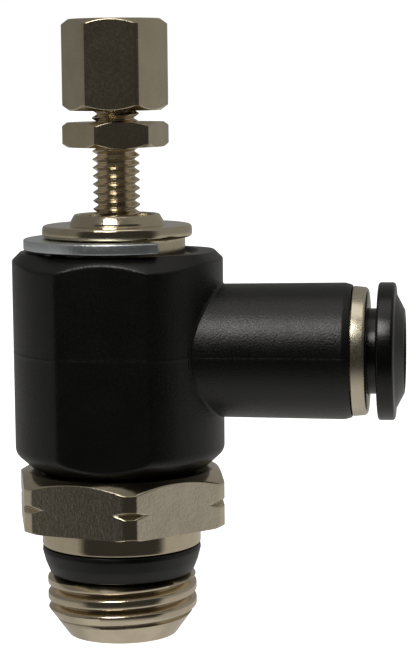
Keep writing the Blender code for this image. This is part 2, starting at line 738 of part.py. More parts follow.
def make_seat_ring(parts, materials):
    """Seat ring at the inlet bore's top: the needle meters the flow through its throat."""
    top = INLET_TOP - 0.08 * MM
    bottom = top - 1.7 * MM
    outer = INLET_R - 0.08 * MM
    groove_r = 2.7 * MM
    groove_top = top - 0.42 * MM
    groove_bottom = bottom + 0.42 * MM
    profile = [
        (outer, top),
        (outer, groove_top),
        (groove_r, groove_top),
        (groove_r, groove_bottom),
        (outer, groove_bottom),
        (outer, bottom),
        (THROAT_R + 0.7 * MM, bottom),
        (THROAT_R, bottom + 0.7 * MM),
        (THROAT_R, top),
    ]
    finish_part(turned("needle_seat_ring", profile, parts, facets=FINE), materials["brass"])
    section = ring_profile(
        groove_r + 0.04 * MM, INLET_R - 0.06 * MM, groove_bottom + 0.06 * MM, groove_top - 0.06 * MM
    )
    finish_part(turned("seat_ring_o_ring", section, parts, facets=FINE), materials["rubber"], 60.0)


# ---- push-in cartridge -----------------------------------------------------------------------------
def make_cartridge_ring(parts, materials, port_axis):
    """Plated sleeve pressed into the port: its rim shows round the release button."""
    rim = PORT_END + GAP
    wall = 0.4 * MM
    lip_r = BUTTON_NECK_R + 0.15 * MM
    profile = [
        (COVER_NOSE_R - COVER_ROLL, COVER_END),
        (COVER_NOSE_R - 0.3 * COVER_ROLL, COVER_END - 0.3 * COVER_ROLL),
        (COVER_NOSE_R, COVER_END - COVER_ROLL),
        (COVER_R, rim),
        (SLEEVE_R, rim),
        (SLEEVE_R, SLEEVE_START),
        (SLEEVE_R - wall, SLEEVE_START),
        (SLEEVE_R - wall, COVER_END - 0.95 * MM),
        (lip_r, COVER_END - 0.75 * MM),
        (lip_r, COVER_END),
    ]
    finish_part(turned("cartridge_ring", profile, parts, port_axis), materials["nickel"])


def make_release_button(parts, cutters, materials, port_axis):
    """Release button: pressing its disc pushes the nose on to the grip ring's teeth."""
    edge = 0.3 * MM
    barb_top = COVER_END - 1.4 * MM
    profile = [
        (BUTTON_END_R, BUTTON_END),
        (BUTTON_R - 0.95 * MM, BUTTON_FRONT),
        (BUTTON_R - edge, BUTTON_FRONT - 0.1 * MM),
        (BUTTON_R, BUTTON_FRONT - 0.1 * MM - edge),
        (BUTTON_R, BUTTON_BACK + edge),
        (BUTTON_R - edge, BUTTON_BACK),
        (BUTTON_NECK_R, BUTTON_BACK),
        (BUTTON_NECK_R, barb_top),
        (BUTTON_BARB_R, barb_top - 0.1 * MM),
        (BUTTON_BARB_R, barb_top - 0.7 * MM),
        (BUTTON_NOSE_R + 0.1 * MM, BUTTON_NOSE + 0.7 * MM),
        (BUTTON_NOSE_R, BUTTON_NOSE),
        (BUTTON_BORE_R, BUTTON_NOSE),
        (BUTTON_BORE_R, BUTTON_END - 0.15 * MM),
        (BUTTON_BORE_R + 0.15 * MM, BUTTON_END),
    ]
    button = turned("release_button", profile, parts, port_axis)
    slits = spokes(
        "button_slits", 4, (4.5 * MM, 0, BUTTON_NOSE + 1.1 * MM), (5 * MM, 0.6 * MM, 3.6 * MM),
        math.pi / 4, cutters, port_axis,
    )
    boolean(button, slits)
    finish_part(button, materials["button"])


def make_grip_ring(parts, cutters, materials, port_axis):
    """Toothed spring washer that bites on the tube."""
    face = 16.2 * MM
    thick = 0.26 * MM
    fold_r = 3.9 * MM
    lean = 0.5 * MM
    profile = [
        (SLEEVE_R, face),
        (SLEEVE_R, face - thick),
        (fold_r, face - thick),
        (TOOTH_TIP_R, face - thick - lean),
        (TOOTH_TIP_R, face - lean),
        (fold_r, face),
    ]
    ring = turned("grip_ring", profile, parts, port_axis)
    slots = spokes(
        "tooth_slots", TOOTH_COUNT, (3.2 * MM, 0, face - 0.4 * MM), (1.8 * MM, 0.5 * MM, 2 * MM),
        0.0, cutters, port_axis,
    )
    boolean(ring, slots)
    finish_part(ring, materials["stainless"])


def make_grip_spacer(parts, materials, port_axis):
    """Ring that backs the grip ring and keeps the tube seal in its place."""
    back = 14.8 * MM
    profile = [
        (SLEEVE_R, 15.85 * MM),
        (SLEEVE_R, back),
        (TUBE_GUIDE_R + 0.05 * MM, back),
        (TUBE_GUIDE_R + 0.05 * MM, 15.2 * MM),
        (3.95 * MM, 15.3 * MM),
        (4.05 * MM, 15.85 * MM),
    ]
    finish_part(turned("grip_ring_spacer", profile, parts, port_axis), materials["natural"])


def make_tube_seal(parts, materials, port_axis):
    """Ring that seals on the tube's outside."""
    section = ring_profile(
        2.95 * MM, CARTRIDGE_BORE_R - 0.05 * MM, CARTRIDGE_SEAT + 0.08 * MM, 14.7 * MM
    )
    finish_part(turned("tube_o_ring", section, parts, port_axis), materials["rubber"], 60.0)


# ---- assembly -----------------------------------------------------------------------------------------
def main():
    """Build the valve at rest: needle fully open, body turned so that the port is along +X."""
    clear_scene()
    parts = new_collection("flow_control_valve")
    cutters = new_collection("cutters")
    materials = make_materials()
    port_axis = add_object("port_axis", None, parts)
    port_axis.location = (0.0, 0.0, PORT_Z)
    port_axis.rotation_euler = (0.0, math.pi / 2, 0.0)
    bpy.context.view_layer.update()

    make_stem(parts, cutters, materials)
    make_sealing_ring(parts, materials)
    make_body(parts, cutters, materials, port_axis)
    make_body_rings(parts, materials)
    make_check_seal(parts, materials)
    make_clip(parts, materials)
    make_needle(parts, cutters, materials)
    make_needle_ring(parts, materials)
    make_knob(parts, cutters, materials)
    make_lock_nut(parts, cutters, materials)
    make_guide_bush(parts, materials)
    make_seat_ring(parts, materials)
    make_cartridge_ring(parts, materials, port_axis)
    make_release_button(parts, cutters, materials, port_axis)
    make_grip_ring(parts, cutters, materials, port_axis)
    make_grip_spacer(parts, materials, port_axis)
    make_tube_seal(parts, materials, port_axis)
    bpy.context.view_layer.update()


main()
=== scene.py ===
"""Looks for the flow control valve: fine turned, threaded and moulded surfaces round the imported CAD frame.

Lengths are in millimetres until a mesh is made, and then in metres. The origin is on the stem's axis at the
shoulder that meets the port, +Z runs up the stem and +X runs out along the tube port.
"""
import math

import bmesh
import bpy
import numpy as np
from mathutils import Matrix, Vector


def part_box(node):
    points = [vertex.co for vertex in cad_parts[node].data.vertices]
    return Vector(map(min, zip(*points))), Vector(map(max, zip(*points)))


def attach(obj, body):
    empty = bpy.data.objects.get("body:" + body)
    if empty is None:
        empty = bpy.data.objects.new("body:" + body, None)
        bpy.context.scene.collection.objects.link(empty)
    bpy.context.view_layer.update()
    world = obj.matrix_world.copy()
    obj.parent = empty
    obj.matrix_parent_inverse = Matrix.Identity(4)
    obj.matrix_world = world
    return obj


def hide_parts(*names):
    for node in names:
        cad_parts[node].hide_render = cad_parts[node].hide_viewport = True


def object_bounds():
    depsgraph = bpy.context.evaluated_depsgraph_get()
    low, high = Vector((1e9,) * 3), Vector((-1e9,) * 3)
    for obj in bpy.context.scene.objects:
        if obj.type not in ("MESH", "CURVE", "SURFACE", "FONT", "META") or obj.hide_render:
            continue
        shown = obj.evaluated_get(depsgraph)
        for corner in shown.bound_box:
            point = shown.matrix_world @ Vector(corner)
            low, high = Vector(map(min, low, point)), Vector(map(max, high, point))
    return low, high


MM = 0.001

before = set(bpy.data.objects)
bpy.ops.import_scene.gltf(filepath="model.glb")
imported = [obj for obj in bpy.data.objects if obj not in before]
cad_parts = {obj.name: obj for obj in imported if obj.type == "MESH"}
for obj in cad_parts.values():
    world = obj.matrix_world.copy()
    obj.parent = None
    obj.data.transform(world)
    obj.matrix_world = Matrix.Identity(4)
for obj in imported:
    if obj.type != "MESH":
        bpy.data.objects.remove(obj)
CAD_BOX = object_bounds()


def low(node, axis):
    """A CAD node's lowest coordinate on one axis, in millimetres."""
    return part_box(node)[0][axis] / MM


def high(node, axis):
    """A CAD node's highest coordinate on one axis, in millimetres."""
    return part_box(node)[1][axis] / MM


X, Y, Z = 0, 1, 2

# ---- dimensions read from the frame ----
THREAD_END = low("threaded_stem", Z)
STEM_TOP = high("threaded_stem", Z)
BODY_BOTTOM = low("swivel_body", Z)
BODY_TOP = high("swivel_body", Z)
BODY_FLAT = high("swivel_body", Y)
PORT_END = high("swivel_body", X)
PORT_Z = (low("cartridge_ring", Z) + high("cartridge_ring", Z)) / 2
KNOB_BOTTOM = low("adjusting_knob", Z)
KNOB_TOP = high("adjusting_knob", Z)
NUT_BOTTOM = low("lock_nut", Z)
NUT_TOP = high("lock_nut", Z)
CLIP_BOTTOM = low("retaining_clip", Z)
CLIP_TOP = high("retaining_clip", Z)
CLIP_R = -low("retaining_clip", X)
CLIP_ARM_END = high("retaining_clip", X)
BUSH_TOP = high("needle_guide_bush", Z)
COVER_END = high("cartridge_ring", X)
COVER_R = high("cartridge_ring", Y)
SLEEVE_START = low("cartridge_ring", X)
BUTTON_END = high("release_button", X)
BUTTON_R = high("release_button", Y)
BUTTON_NOSE = low("release_button", X)
NEEDLE_TIP = low("metering_needle", Z)

# ---- dimensions of the details ----
THREAD_R = 6.45
THREAD_ROOT_R = 5.75
THREAD_PITCH = 1.337
THREAD_CREST = 0.76
THREAD_ROOT = 0.06
THREAD_ROUNDING = 0.28
THREAD_END_R = 4.7
THREAD_CHAMFER = 2.4
SEAL_NECK_R = 5.65
SEAL_DEPTH = 2.45
SEAL_NOSE_R = 6.2
COLLAR_R = 6.85
COLLAR_TOP = 1.9
HEX_AF = 17.0
HEX_TOP = 6.55
HEX_CORNER_R = 9.55
HEX_TOP_FACE_R = 8.1
HEX_TOP_CHAMFER = 0.85
HEX_FOOT_FACE_R = 9.3
HEX_FOOT_CHAMFER = 0.14
HEX_NOTCH_Z = 4.02
HEX_NOTCH_R = 9.12
HEX_NOTCH_SLOPE = 0.72
HEX_TURN = math.radians(-76.0)
LAND_R = 6.4
SHANK_R = 4.7
RING_GROOVE_R = 5.45
RING_GROOVES = (7.95, 23.6)
RING_GROOVE_HALF = 0.65
LOWER_LAND_TOP = 9.0
UPPER_LAND_BOTTOM = 22.3
UPPER_LAND_TOP = 24.9
CHECK_GROOVE_R = 4.05
CHECK_GROOVE = (11.0, 12.6)
NECK_R = 5.8
FLANGE_R = 6.4
FLANGE_BOTTOM = 26.42
FLANGE_TOP = 27.45
BOSS_BASE_R = 4.0
BOSS_TOP_R = 3.65
INLET_R = 3.4
INLET_TOP = 12.7
INLET_FLARE = 0.4
CHAMBER_R = 2.35
POCKET_R = 3.3
POCKET_BOTTOM = 22.5
BODY_R = 9.0
BODY_BORE_R = 6.55
BODY_MOUTH_R = 7.0
BODY_TOP_FACE_R = 7.4
BODY_TOP_CHAMFER = 1.24
BODY_FOOT_FACE_R = 7.6
BODY_FOOT_CHAMFER = 1.25
PARTING_RISE = 0.012
PARTING_HALF = 0.06
PORT_R = 5.79
PORT_ROOT_R = 5.69
PORT_BEVEL_R = 5.62
PORT_BEVEL = 0.6
CARTRIDGE_BORE_R = 4.7
CARTRIDGE_SEAT = 12.8
TUBE_GUIDE_R = 3.1
TUBE_STOP = 10.5
PASSAGE_R = 2.2
SLEEVE_R = 4.6
COVER_NOSE_R = 5.4
COVER_ROLL = 0.35
BUTTON_BACK = 22.25
BUTTON_FRONT = 23.75
BUTTON_END_R = 3.54
BUTTON_NECK_R = 3.62
BUTTON_BARB_R = 4.05
BUTTON_NOSE_R = 3.35
BUTTON_BORE_R = 3.08
SCREW_R = 2.0
SCREW_ROOT_R = 1.62
SCREW_PITCH = 0.7
SCREW_CREST = 0.09
SCREW_ROUNDING = 0.035
SCREW_CHAMFER = 0.35
SCREW_BOTTOM = 23.3
KNOB_AF = 8.0
KNOB_CORNER_R = 4.5
KNOB_FACE_R = 3.88
KNOB_CHAMFER = 0.45
KNOB_TURN = math.radians(-116.0)
NUT_CORNER_R = 4.55
NUT_FACE_R = 4.12
NUT_CHAMFER = 0.3
NUT_TURN = math.radians(-102.4)
NEEDLE_LAND_R = 2.25
NEEDLE_LAND_BOTTOM = 19.2
NEEDLE_GROOVE_R = 1.35
NEEDLE_GROOVE_Z = 20.7
NEEDLE_GROOVE_HALF = 0.6
NEEDLE_STEM_R = 1.45
CLIP_SLOT = 5.92
BUSH_GROOVE_R = 2.62
BUSH_GROOVE = (23.4, 24.4)
SEAT_TOP = INLET_TOP - 0.08
SEAT_BOTTOM = SEAT_TOP - 1.7
SEAT_GROOVE_R = 2.7
SEAT_THROAT_R = 1.55
GAP = 0.1                               # between neighbouring pieces
PLAY = 0.08                             # a hidden piece's play in its bore or groove

# ---- fineness of the meshes ----
SHARP_ANGLE = math.radians(38.0)        # edges that turn more than this stay sharp
STEM_COLUMNS = 240
COLUMNS = 216                           # round the barrel, the knob and the nut
SHOWN_COLUMNS = 192
SCREW_COLUMNS = 72
STEP = 0.25                             # the longest step along a shown outline
STEM_STEP = 0.3
BORE_STEP = 0.8


# ---- mesh helpers ----
def fillet(points, steps=4):
    """Round the corners of a closed outline of (radius, height, rounding) points with arcs."""
    outline = []
    count = len(points)
    for i, (radius, height, rounding) in enumerate(points):
        here = np.array((radius, height))
        if rounding <= 0.0:
            outline.append((radius, height))
            continue
        to_before = np.array(points[i - 1][:2]) - here
        to_after = np.array(points[(i + 1) % count][:2]) - here
        length_before = np.linalg.norm(to_before)
        length_after = np.linalg.norm(to_after)
        before = to_before / length_before
        after = to_after / length_after
        half = 0.5 * math.acos(float(np.clip(before @ after, -1.0, 1.0)))
        cut = min(rounding / math.tan(half), 0.46 * length_before, 0.46 * length_after)
        arc_radius = cut * math.tan(half)
        middle = before + after
        centre = here + middle / np.linalg.norm(middle) * arc_radius / math.sin(half)
        start = here + before * cut - centre
        end = here + after * cut - centre
        turn = math.atan2(start[0] * end[1] - start[1] * end[0], float(start @ end))
        for k in range(steps + 1):
            angle = turn * k / steps
            c, s = math.cos(angle), math.sin(angle)
            spoke = np.array((c * start[0] - s * start[1], s * start[0] + c * start[1]))
            outline.append(tuple(centre + spoke))
    return outline


def smooth_min(a, b, soft):
    """The smaller of a and b, rounded over where they are within soft of each other."""
    near = np.maximum(soft - np.abs(a - b), 0.0) / soft
    return np.minimum(a, b) - near * near * soft * 0.25


def hexagon_limit(across_flats, corner_angle):
    """The radius of a hexagon's flats as a function of the angle."""
    side = math.pi / 3

    def limit(angle):
        from_flat = (angle - corner_angle) % side - side / 2
        return across_flats / 2 / np.cos(from_flat)

    return limit


def flats_limit(half_width):
    """The radius of two flats across Y as a function of the angle."""

    def limit(angle):
        return half_width / np.maximum(np.abs(np.sin(angle)), 0.05)

    return limit


def angles_round(count, clusters=()):
    """Angles of one full turn, both ends included, with extra ones close to some directions."""
    spread = [math.radians(step) for step in (-1.2, -0.8, -0.5, -0.25, 0.0, 0.25, 0.5, 0.8, 1.2)]
    extra = [(direction + step) % math.tau for direction in clusters for step in spread]
    angles = np.unique(np.round(np.concatenate([np.linspace(0.0, math.tau, count + 1), extra]), 6))
    angles[-1] = math.tau
    return angles


def hexagon_creases(across_flats, corner_radius, corner_angle):
    """Where a hexagon's flats meet its turned corners."""
    half = math.pi / 6 - math.acos(across_flats / 2 / corner_radius)
    return [corner_angle + i * math.pi / 3 + sign * half for i in range(6) for sign in (-1, 1)]


def plain_rows(outline, angles, limit=None, soft=0.1):
    """One row of (radius, height) round the axis for each point of an outline."""
    rows = np.zeros((len(outline), len(angles), 2))
    for row, (radius, height) in zip(rows, outline):
        row[:, 0] = radius if limit is None else smooth_min(np.full(len(angles), radius), limit(angles), soft)
        row[:, 1] = height
    return rows


def thread_rows(crest_r, root_r, pitch, crest, root, top, bottom, angles, trim, rounding):
    """Rows that follow a right-hand thread from top to bottom, trimmed by a turned outline."""
    flank = (pitch - crest - root) / 2
    turn_points = [
        (root_r, crest / 2 + flank, 0.0),
        (crest_r, crest / 2, rounding),
        (crest_r, -crest / 2, rounding),
        (root_r, -crest / 2 - flank, rounding),
        (root_r, -crest / 2 - flank - root, rounding),
        (crest_r, -pitch + crest / 2, 0.0),
    ]
    wave = fillet(turn_points, 3)[1:-1]
    wave_r = np.array([point[0] for point in wave])
    wave_z = np.array([point[1] for point in wave])
    order = np.argsort(wave_z)
    turns = math.ceil((top - bottom) / pitch) + 2
    climb = angles / math.tau * pitch
    rows = []
    for k in range(-1, turns):
        for offset in wave_z:
            height = np.clip(top - k * pitch + offset + climb, bottom, top)
            phase = np.mod(height - climb - top + pitch / 2, pitch) - pitch / 2
            radius = np.interp(phase, wave_z[order], wave_r[order], period=pitch)
            radius = smooth_min(radius, trim(height), 0.06)
            rows.append(np.stack([radius, height], axis=1))
    return np.array(rows)


def along_port(points):
    """Points turned about Z put on the tube port's axis, which runs along +X."""
    return np.stack([points[..., 2], points[..., 1], PORT_Z - points[..., 0]], axis=-1)


def skin(name, rows, angles, materials, bands=None, port=False, closed=True):
    """A turned surface from rows of (radius, height); bands gives the material of each face."""
    radius, height = rows[..., 0], rows[..., 1]
    points = np.stack([radius * np.cos(angles), radius * np.sin(angles), height], axis=-1)
    if port:
        points = along_port(points)
    count_rows, count_columns = radius.shape
    faces, numbers = [], []
    for i in range(count_rows if closed else count_rows - 1):
        j = (i + 1) % count_rows
        for k in range(count_columns - 1):
            a, b = i * count_columns + k, j * count_columns + k
            faces.append((a, b, b + 1, a + 1))
            numbers.append(0 if bands is None else int(bands[i, k]))
    mesh = bpy.data.meshes.new(name)
    mesh.from_pydata((points.reshape(-1, 3) * MM).tolist(), [], faces)
    mesh.polygons.foreach_set("material_index", numbers)
    return add_piece(name, mesh, materials)


def add_object(name, data):
    """A new object in the scene that holds this data."""
    made = bpy.data.objects.new(name, data)
    bpy.context.scene.collection.objects.link(made)
    return made


def shade(mesh):
    """Shade a mesh smooth between its sharp edges."""
    mesh.shade_smooth()
    mesh.set_sharp_from_angle(angle=SHARP_ANGLE)


def weigh_normals(piece, weight):
    """Let large faces lead the shading normals, so that flat faces look flat."""
    weigh = piece.modifiers.new("weighted_normals", "WEIGHTED_NORMAL")
    weigh.keep_sharp = True
    weigh.weight = weight


def add_piece(name, mesh, materials):
    """Weld a new mesh, point its faces outwards, shade it and give it its materials."""
    shape = bmesh.new()
    shape.from_mesh(mesh)
    bmesh.ops.remove_doubles(shape, verts=shape.verts, dist=2e-7)
    bmesh.ops.dissolve_degenerate(shape, edges=shape.edges, dist=1e-8)
    bmesh.ops.recalc_face_normals(shape, faces=shape.faces)
    shape.to_mesh(mesh)
    shape.free()
    piece = add_object(name, mesh)
    for material in materials:
        mesh.materials.append(material)
    shade(mesh)
    weigh_normals(piece, 100)
    return piece


def turned(name, points, material, columns=128, steps=3, port=False):
    """A plain turned piece from a closed outline of (radius, height, rounding) points."""
    angles = angles_round(columns)
    return skin(name, plain_rows(fillet(points, steps), angles), angles, [material], port=port)


def elastomer_ring(name, inner, outer, bottom, top, material, port=False):
    """A ring of oval section, squeezed between its walls."""
    sides, columns = 20, 96
    middle_r, middle_z = (inner + outer) / 2, (bottom + top) / 2
    outline = []
    for i in range(sides):
        angle = -math.tau * i / sides
        x, y = math.cos(angle), math.sin(angle)
        outline.append((middle_r + (outer - inner) / 2 * x, middle_z + (top - bottom) / 2 * y))
    angles = angles_round(columns)
    return skin(name, plain_rows(outline, angles), angles, [material], port=port)


def boolean(target, tool, operation):
    """Cut or join two closed meshes for good, and remove the tool."""
    cut = target.modifiers.new("cut", "BOOLEAN")
    cut.object = tool
    cut.operation = operation
    cut.solver = "EXACT"
    target.modifiers.move(len(target.modifiers) - 1, 0)
    weigh = target.modifiers.get("weighted_normals")
    if weigh:
        target.modifiers.remove(weigh)
    bpy.context.view_layer.update()
    depsgraph = bpy.context.evaluated_depsgraph_get()
    mesh = bpy.data.meshes.new_from_object(target.evaluated_get(depsgraph))
    target.modifiers.clear()
    target.data = mesh
    bpy.data.objects.remove(tool, do_unlink=True)


def boxes_round(name, count, centre, size, first_angle):
    """Boxes set round the tube port's axis like spokes, as a cutter."""
    mesh = bpy.data.meshes.new(name)
    shape = bmesh.new()
    to_port = Matrix(((0, 0, 1, 0), (0, 1, 0, 0), (-1, 0, 0, PORT_Z), (0, 0, 0, 1)))
    for i in range(count):
        made = bmesh.ops.create_cube(shape, size=1.0)["verts"]
        bmesh.ops.scale(shape, vec=size, verts=made)
        bmesh.ops.translate(shape, vec=centre, verts=made)
        turn = Matrix.Rotation(first_angle + i * math.tau / count, 4, "Z")
        bmesh.ops.transform(shape, matrix=Matrix.Scale(MM, 4) @ to_port @ turn, verts=made)
    shape.to_mesh(mesh)
    shape.free()
    return add_object(name, mesh)


def place(piece, body, slot, *nodes):
    """Ride a piece on its body and hide the CAD nodes that it stands for; the slot is not used."""
    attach(piece, body)
    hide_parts(*nodes)


# ---- materials ----
class Nodes:
    """Short calls for building a material's node tree in millimetres."""

    def __init__(self, name):
        self.material = bpy.data.materials.new(name)
        self.material.use_nodes = True
        self.tree = self.material.node_tree
        self.shader = self.tree.nodes["Principled BSDF"]
        coordinates = self.tree.nodes.new("ShaderNodeTexCoord")
        self.position = self.scaled(coordinates.outputs["Object"], (1 / MM, 1 / MM, 1 / MM))

    def scaled(self, vector, scale):
        """The vector stretched on each axis."""
        mapping = self.tree.nodes.new("ShaderNodeMapping")
        mapping.inputs["Scale"].default_value = scale
        self.tree.links.new(vector, mapping.inputs["Vector"])
        return mapping.outputs["Vector"]

    def noise(self, scale, detail, stretch=(1.0, 1.0, 1.0), roughness=0.5):
        """Noise with so many features a millimetre."""
        node = self.tree.nodes.new("ShaderNodeTexNoise")
        node.inputs["Scale"].default_value = scale
        node.inputs["Detail"].default_value = detail
        node.inputs["Roughness"].default_value = roughness
        self.tree.links.new(self.scaled(self.position, stretch), node.inputs["Vector"])
        return node.outputs["Fac"]

    def window(self, value, start, end, low_value=0.0, high_value=1.0):
        """The value mapped from start..end to low..high, smoothly and clamped."""
        node = self.tree.nodes.new("ShaderNodeMapRange")
        node.interpolation_type = "SMOOTHSTEP"
        numbers = {"From Min": start, "From Max": end, "To Min": low_value, "To Max": high_value}
        for name, number in numbers.items():
            node.inputs[name].default_value = number
        self.tree.links.new(value, node.inputs["Value"])
        return node.outputs["Result"]

    def math(self, operation, a, b):
        """A sum, product or other of two values, each a socket or a number."""
        node = self.tree.nodes.new("ShaderNodeMath")
        node.operation = operation
        for socket, value in zip(node.inputs, (a, b)):
            if isinstance(value, (int, float)):
                socket.default_value = value
            else:
                self.tree.links.new(value, socket)
        return node.outputs["Value"]

    def mix(self, factor, colour_a, colour_b):
        """Two colours mixed, each a socket or a colour."""
        node = self.tree.nodes.new("ShaderNodeMix")
        node.data_type = "RGBA"
        self.tree.links.new(factor, node.inputs["Factor"])
        for socket, value in ((node.inputs[6], colour_a), (node.inputs[7], colour_b)):
            if isinstance(value, tuple):
                socket.default_value = (*value, 1.0)
            else:
                self.tree.links.new(value, socket)
        return node.outputs[2]

    def bump(self, height, depth, under=None):
        """Relief of so many millimetres, over another relief if there is one."""
        node = self.tree.nodes.new("ShaderNodeBump")
        node.inputs["Strength"].default_value = 1.0
        node.inputs["Distance"].default_value = depth * MM
        self.tree.links.new(height, node.inputs["Height"])
        if under is not None:
            self.tree.links.new(under, node.inputs["Normal"])
        return node.outputs["Normal"]

    def finish(self, colour, roughness, normal, metallic):
        """Join the tree to the shader."""
        self.tree.links.new(colour, self.shader.inputs["Base Color"])
        self.tree.links.new(roughness, self.shader.inputs["Roughness"])
        self.tree.links.new(normal, self.shader.inputs["Normal"])
        self.shader.inputs["Metallic"].default_value = metallic
        return self.material


def plated_metal(name, colour, roughness, marks, mark_depth, grain_depth=0.001, pitting=0.1, axis=Z):
    """Plated metal: patchy tone, fine tool marks, a fine grain and small dark pits.

    Marks gives their number per millimetre along the axis and across it."""
    n = Nodes(name)
    patches = n.window(n.noise(0.45, 3.0), 0.3, 0.7)
    stretch = [marks[1]] * 3
    stretch[axis] = marks[0]
    lines = n.noise(1.0, 4.0, tuple(stretch), roughness=0.6)
    grain = n.noise(4.5, 4.0, roughness=0.62)
    pits = n.window(n.noise(3.2, 4.0, roughness=0.65), 0.61, 0.70)
    tone = n.mix(patches, tuple(0.90 * c for c in colour), colour)
    tone = n.mix(n.math("MULTIPLY", pits, pitting), tone, tuple(0.22 * c for c in colour))
    rough = n.window(grain, 0.25, 0.75, roughness - 0.05, roughness + 0.06)
    rough = n.math("ADD", rough, n.math("MULTIPLY", pits, 0.3 * pitting))
    normal = n.bump(lines, mark_depth)
    normal = n.bump(grain, grain_depth, normal)
    return n.finish(tone, rough, normal, 1.0)


def moulded_plastic(name, colour, roughness, grain_scale, grain_depth, gloss=0.5):
    """Moulded plastic with a spark-eroded grain, slightly polished patches and a little dust."""
    n = Nodes(name)
    patches = n.window(n.noise(0.25, 3.0), 0.3, 0.7)
    grain = n.noise(grain_scale, 3.0, roughness=0.6)
    dust = n.window(n.noise(2.6, 2.0), 0.70, 0.78)
    tone = n.mix(patches, tuple(0.8 * c for c in colour), colour)
    tone = n.mix(n.math("MULTIPLY", dust, 0.3), tone, tuple(min(1.0, 1.5 * c + 0.006) for c in colour))
    rough = n.window(grain, 0.25, 0.75, roughness - 0.05, roughness + 0.05)
    rough = n.math("ADD", rough, n.math("MULTIPLY", patches, 0.04))
    normal = n.bump(grain, grain_depth)
    normal = n.bump(n.noise(0.5, 2.0), 0.012, normal)
    n.shader.inputs["Specular IOR Level"].default_value = gloss
    return n.finish(tone, rough, normal, 0.0)


def rubber(name, tone, roughness):
    """Moulded rubber with a faint bloom and fine pores."""
    n = Nodes(name)
    bloom = n.window(n.noise(0.6, 3.0), 0.4, 0.75)
    pores = n.noise(12.0, 3.0)
    colour = n.mix(bloom, (tone, tone, tone), (tone * 1.7, tone * 1.65, tone * 1.6))
    rough = n.math("ADD", n.window(pores, 0.2, 0.8, roughness - 0.05, roughness + 0.07),
                   n.math("MULTIPLY", bloom, 0.06))
    return n.finish(colour, rough, n.bump(pores, 0.003), 0.0)


def make_materials():
    """All the finishes. Metals: colour, roughness, marks, and how deep, grained and pitted they are."""
    nickel = (0.64, 0.555, 0.40)
    pale_nickel = (0.64, 0.575, 0.445)
    black = (0.0017, 0.0018, 0.0013)
    turned_marks = (14.0, 0.35)
    drawn_marks = (0.3, 3.5)
    return {
        "turned_nickel": plated_metal("turned_nickel", nickel, 0.14, turned_marks, 0.002),
        "thread_nickel": plated_metal("thread_nickel", (0.68, 0.59, 0.44), 0.18, (5.0, 0.5), 0.002),
        "drawn_nickel": plated_metal("drawn_nickel", nickel, 0.21, drawn_marks, 0.003, 0.002, 0.2),
        "milled_nickel": plated_metal("milled_nickel", pale_nickel, 0.20, (0.8, 4.0), 0.007, 0.014, 0.2),
        "port_nickel": plated_metal(
            "port_nickel", pale_nickel, 0.26, turned_marks, 0.001, 0.0004, 0.0, X
        ),
        "zinc": plated_metal("bright_zinc", (0.69, 0.73, 0.75), 0.34, (0.8, 2.0), 0.03, 0.016, 0.15),
        "body": moulded_plastic("moulded_body_plastic", black, 0.34, 6.0, 0.024, 0.44),
        "button": moulded_plastic("moulded_button_plastic", black, 0.24, 6.0, 0.004, 0.40),
        "seal": rubber("sealing_ring_rubber", 0.002, 0.36),
        "nitrile": rubber("nitrile_rubber", 0.008, 0.50),
        "brass": plated_metal("plain_brass", (0.76, 0.52, 0.20), 0.24, turned_marks, 0.002),
        "stainless": plated_metal(
            "spring_stainless", (0.60, 0.59, 0.57), 0.22, (2.0, 0.35), 0.001, axis=X
        ),
        "acetal": moulded_plastic("natural_acetal", (0.70, 0.69, 0.64), 0.42, 8.0, 0.004),
    }


# ---- stem ----
def chamfer_trim(crest_r, end_r, end_z, length, top_r, top_z, top_length):
    """The turned outline that trims a thread: a cone at its lower end and one at its upper end."""
    def trim(height):
        lower = end_r + (crest_r - end_r) * np.clip((height - end_z) / length, 0.0, 2.0)
        upper = top_r + (crest_r - top_r) * np.clip((top_z - height) / top_length, 0.0, 2.0)
        return np.minimum(lower, upper)

    return trim


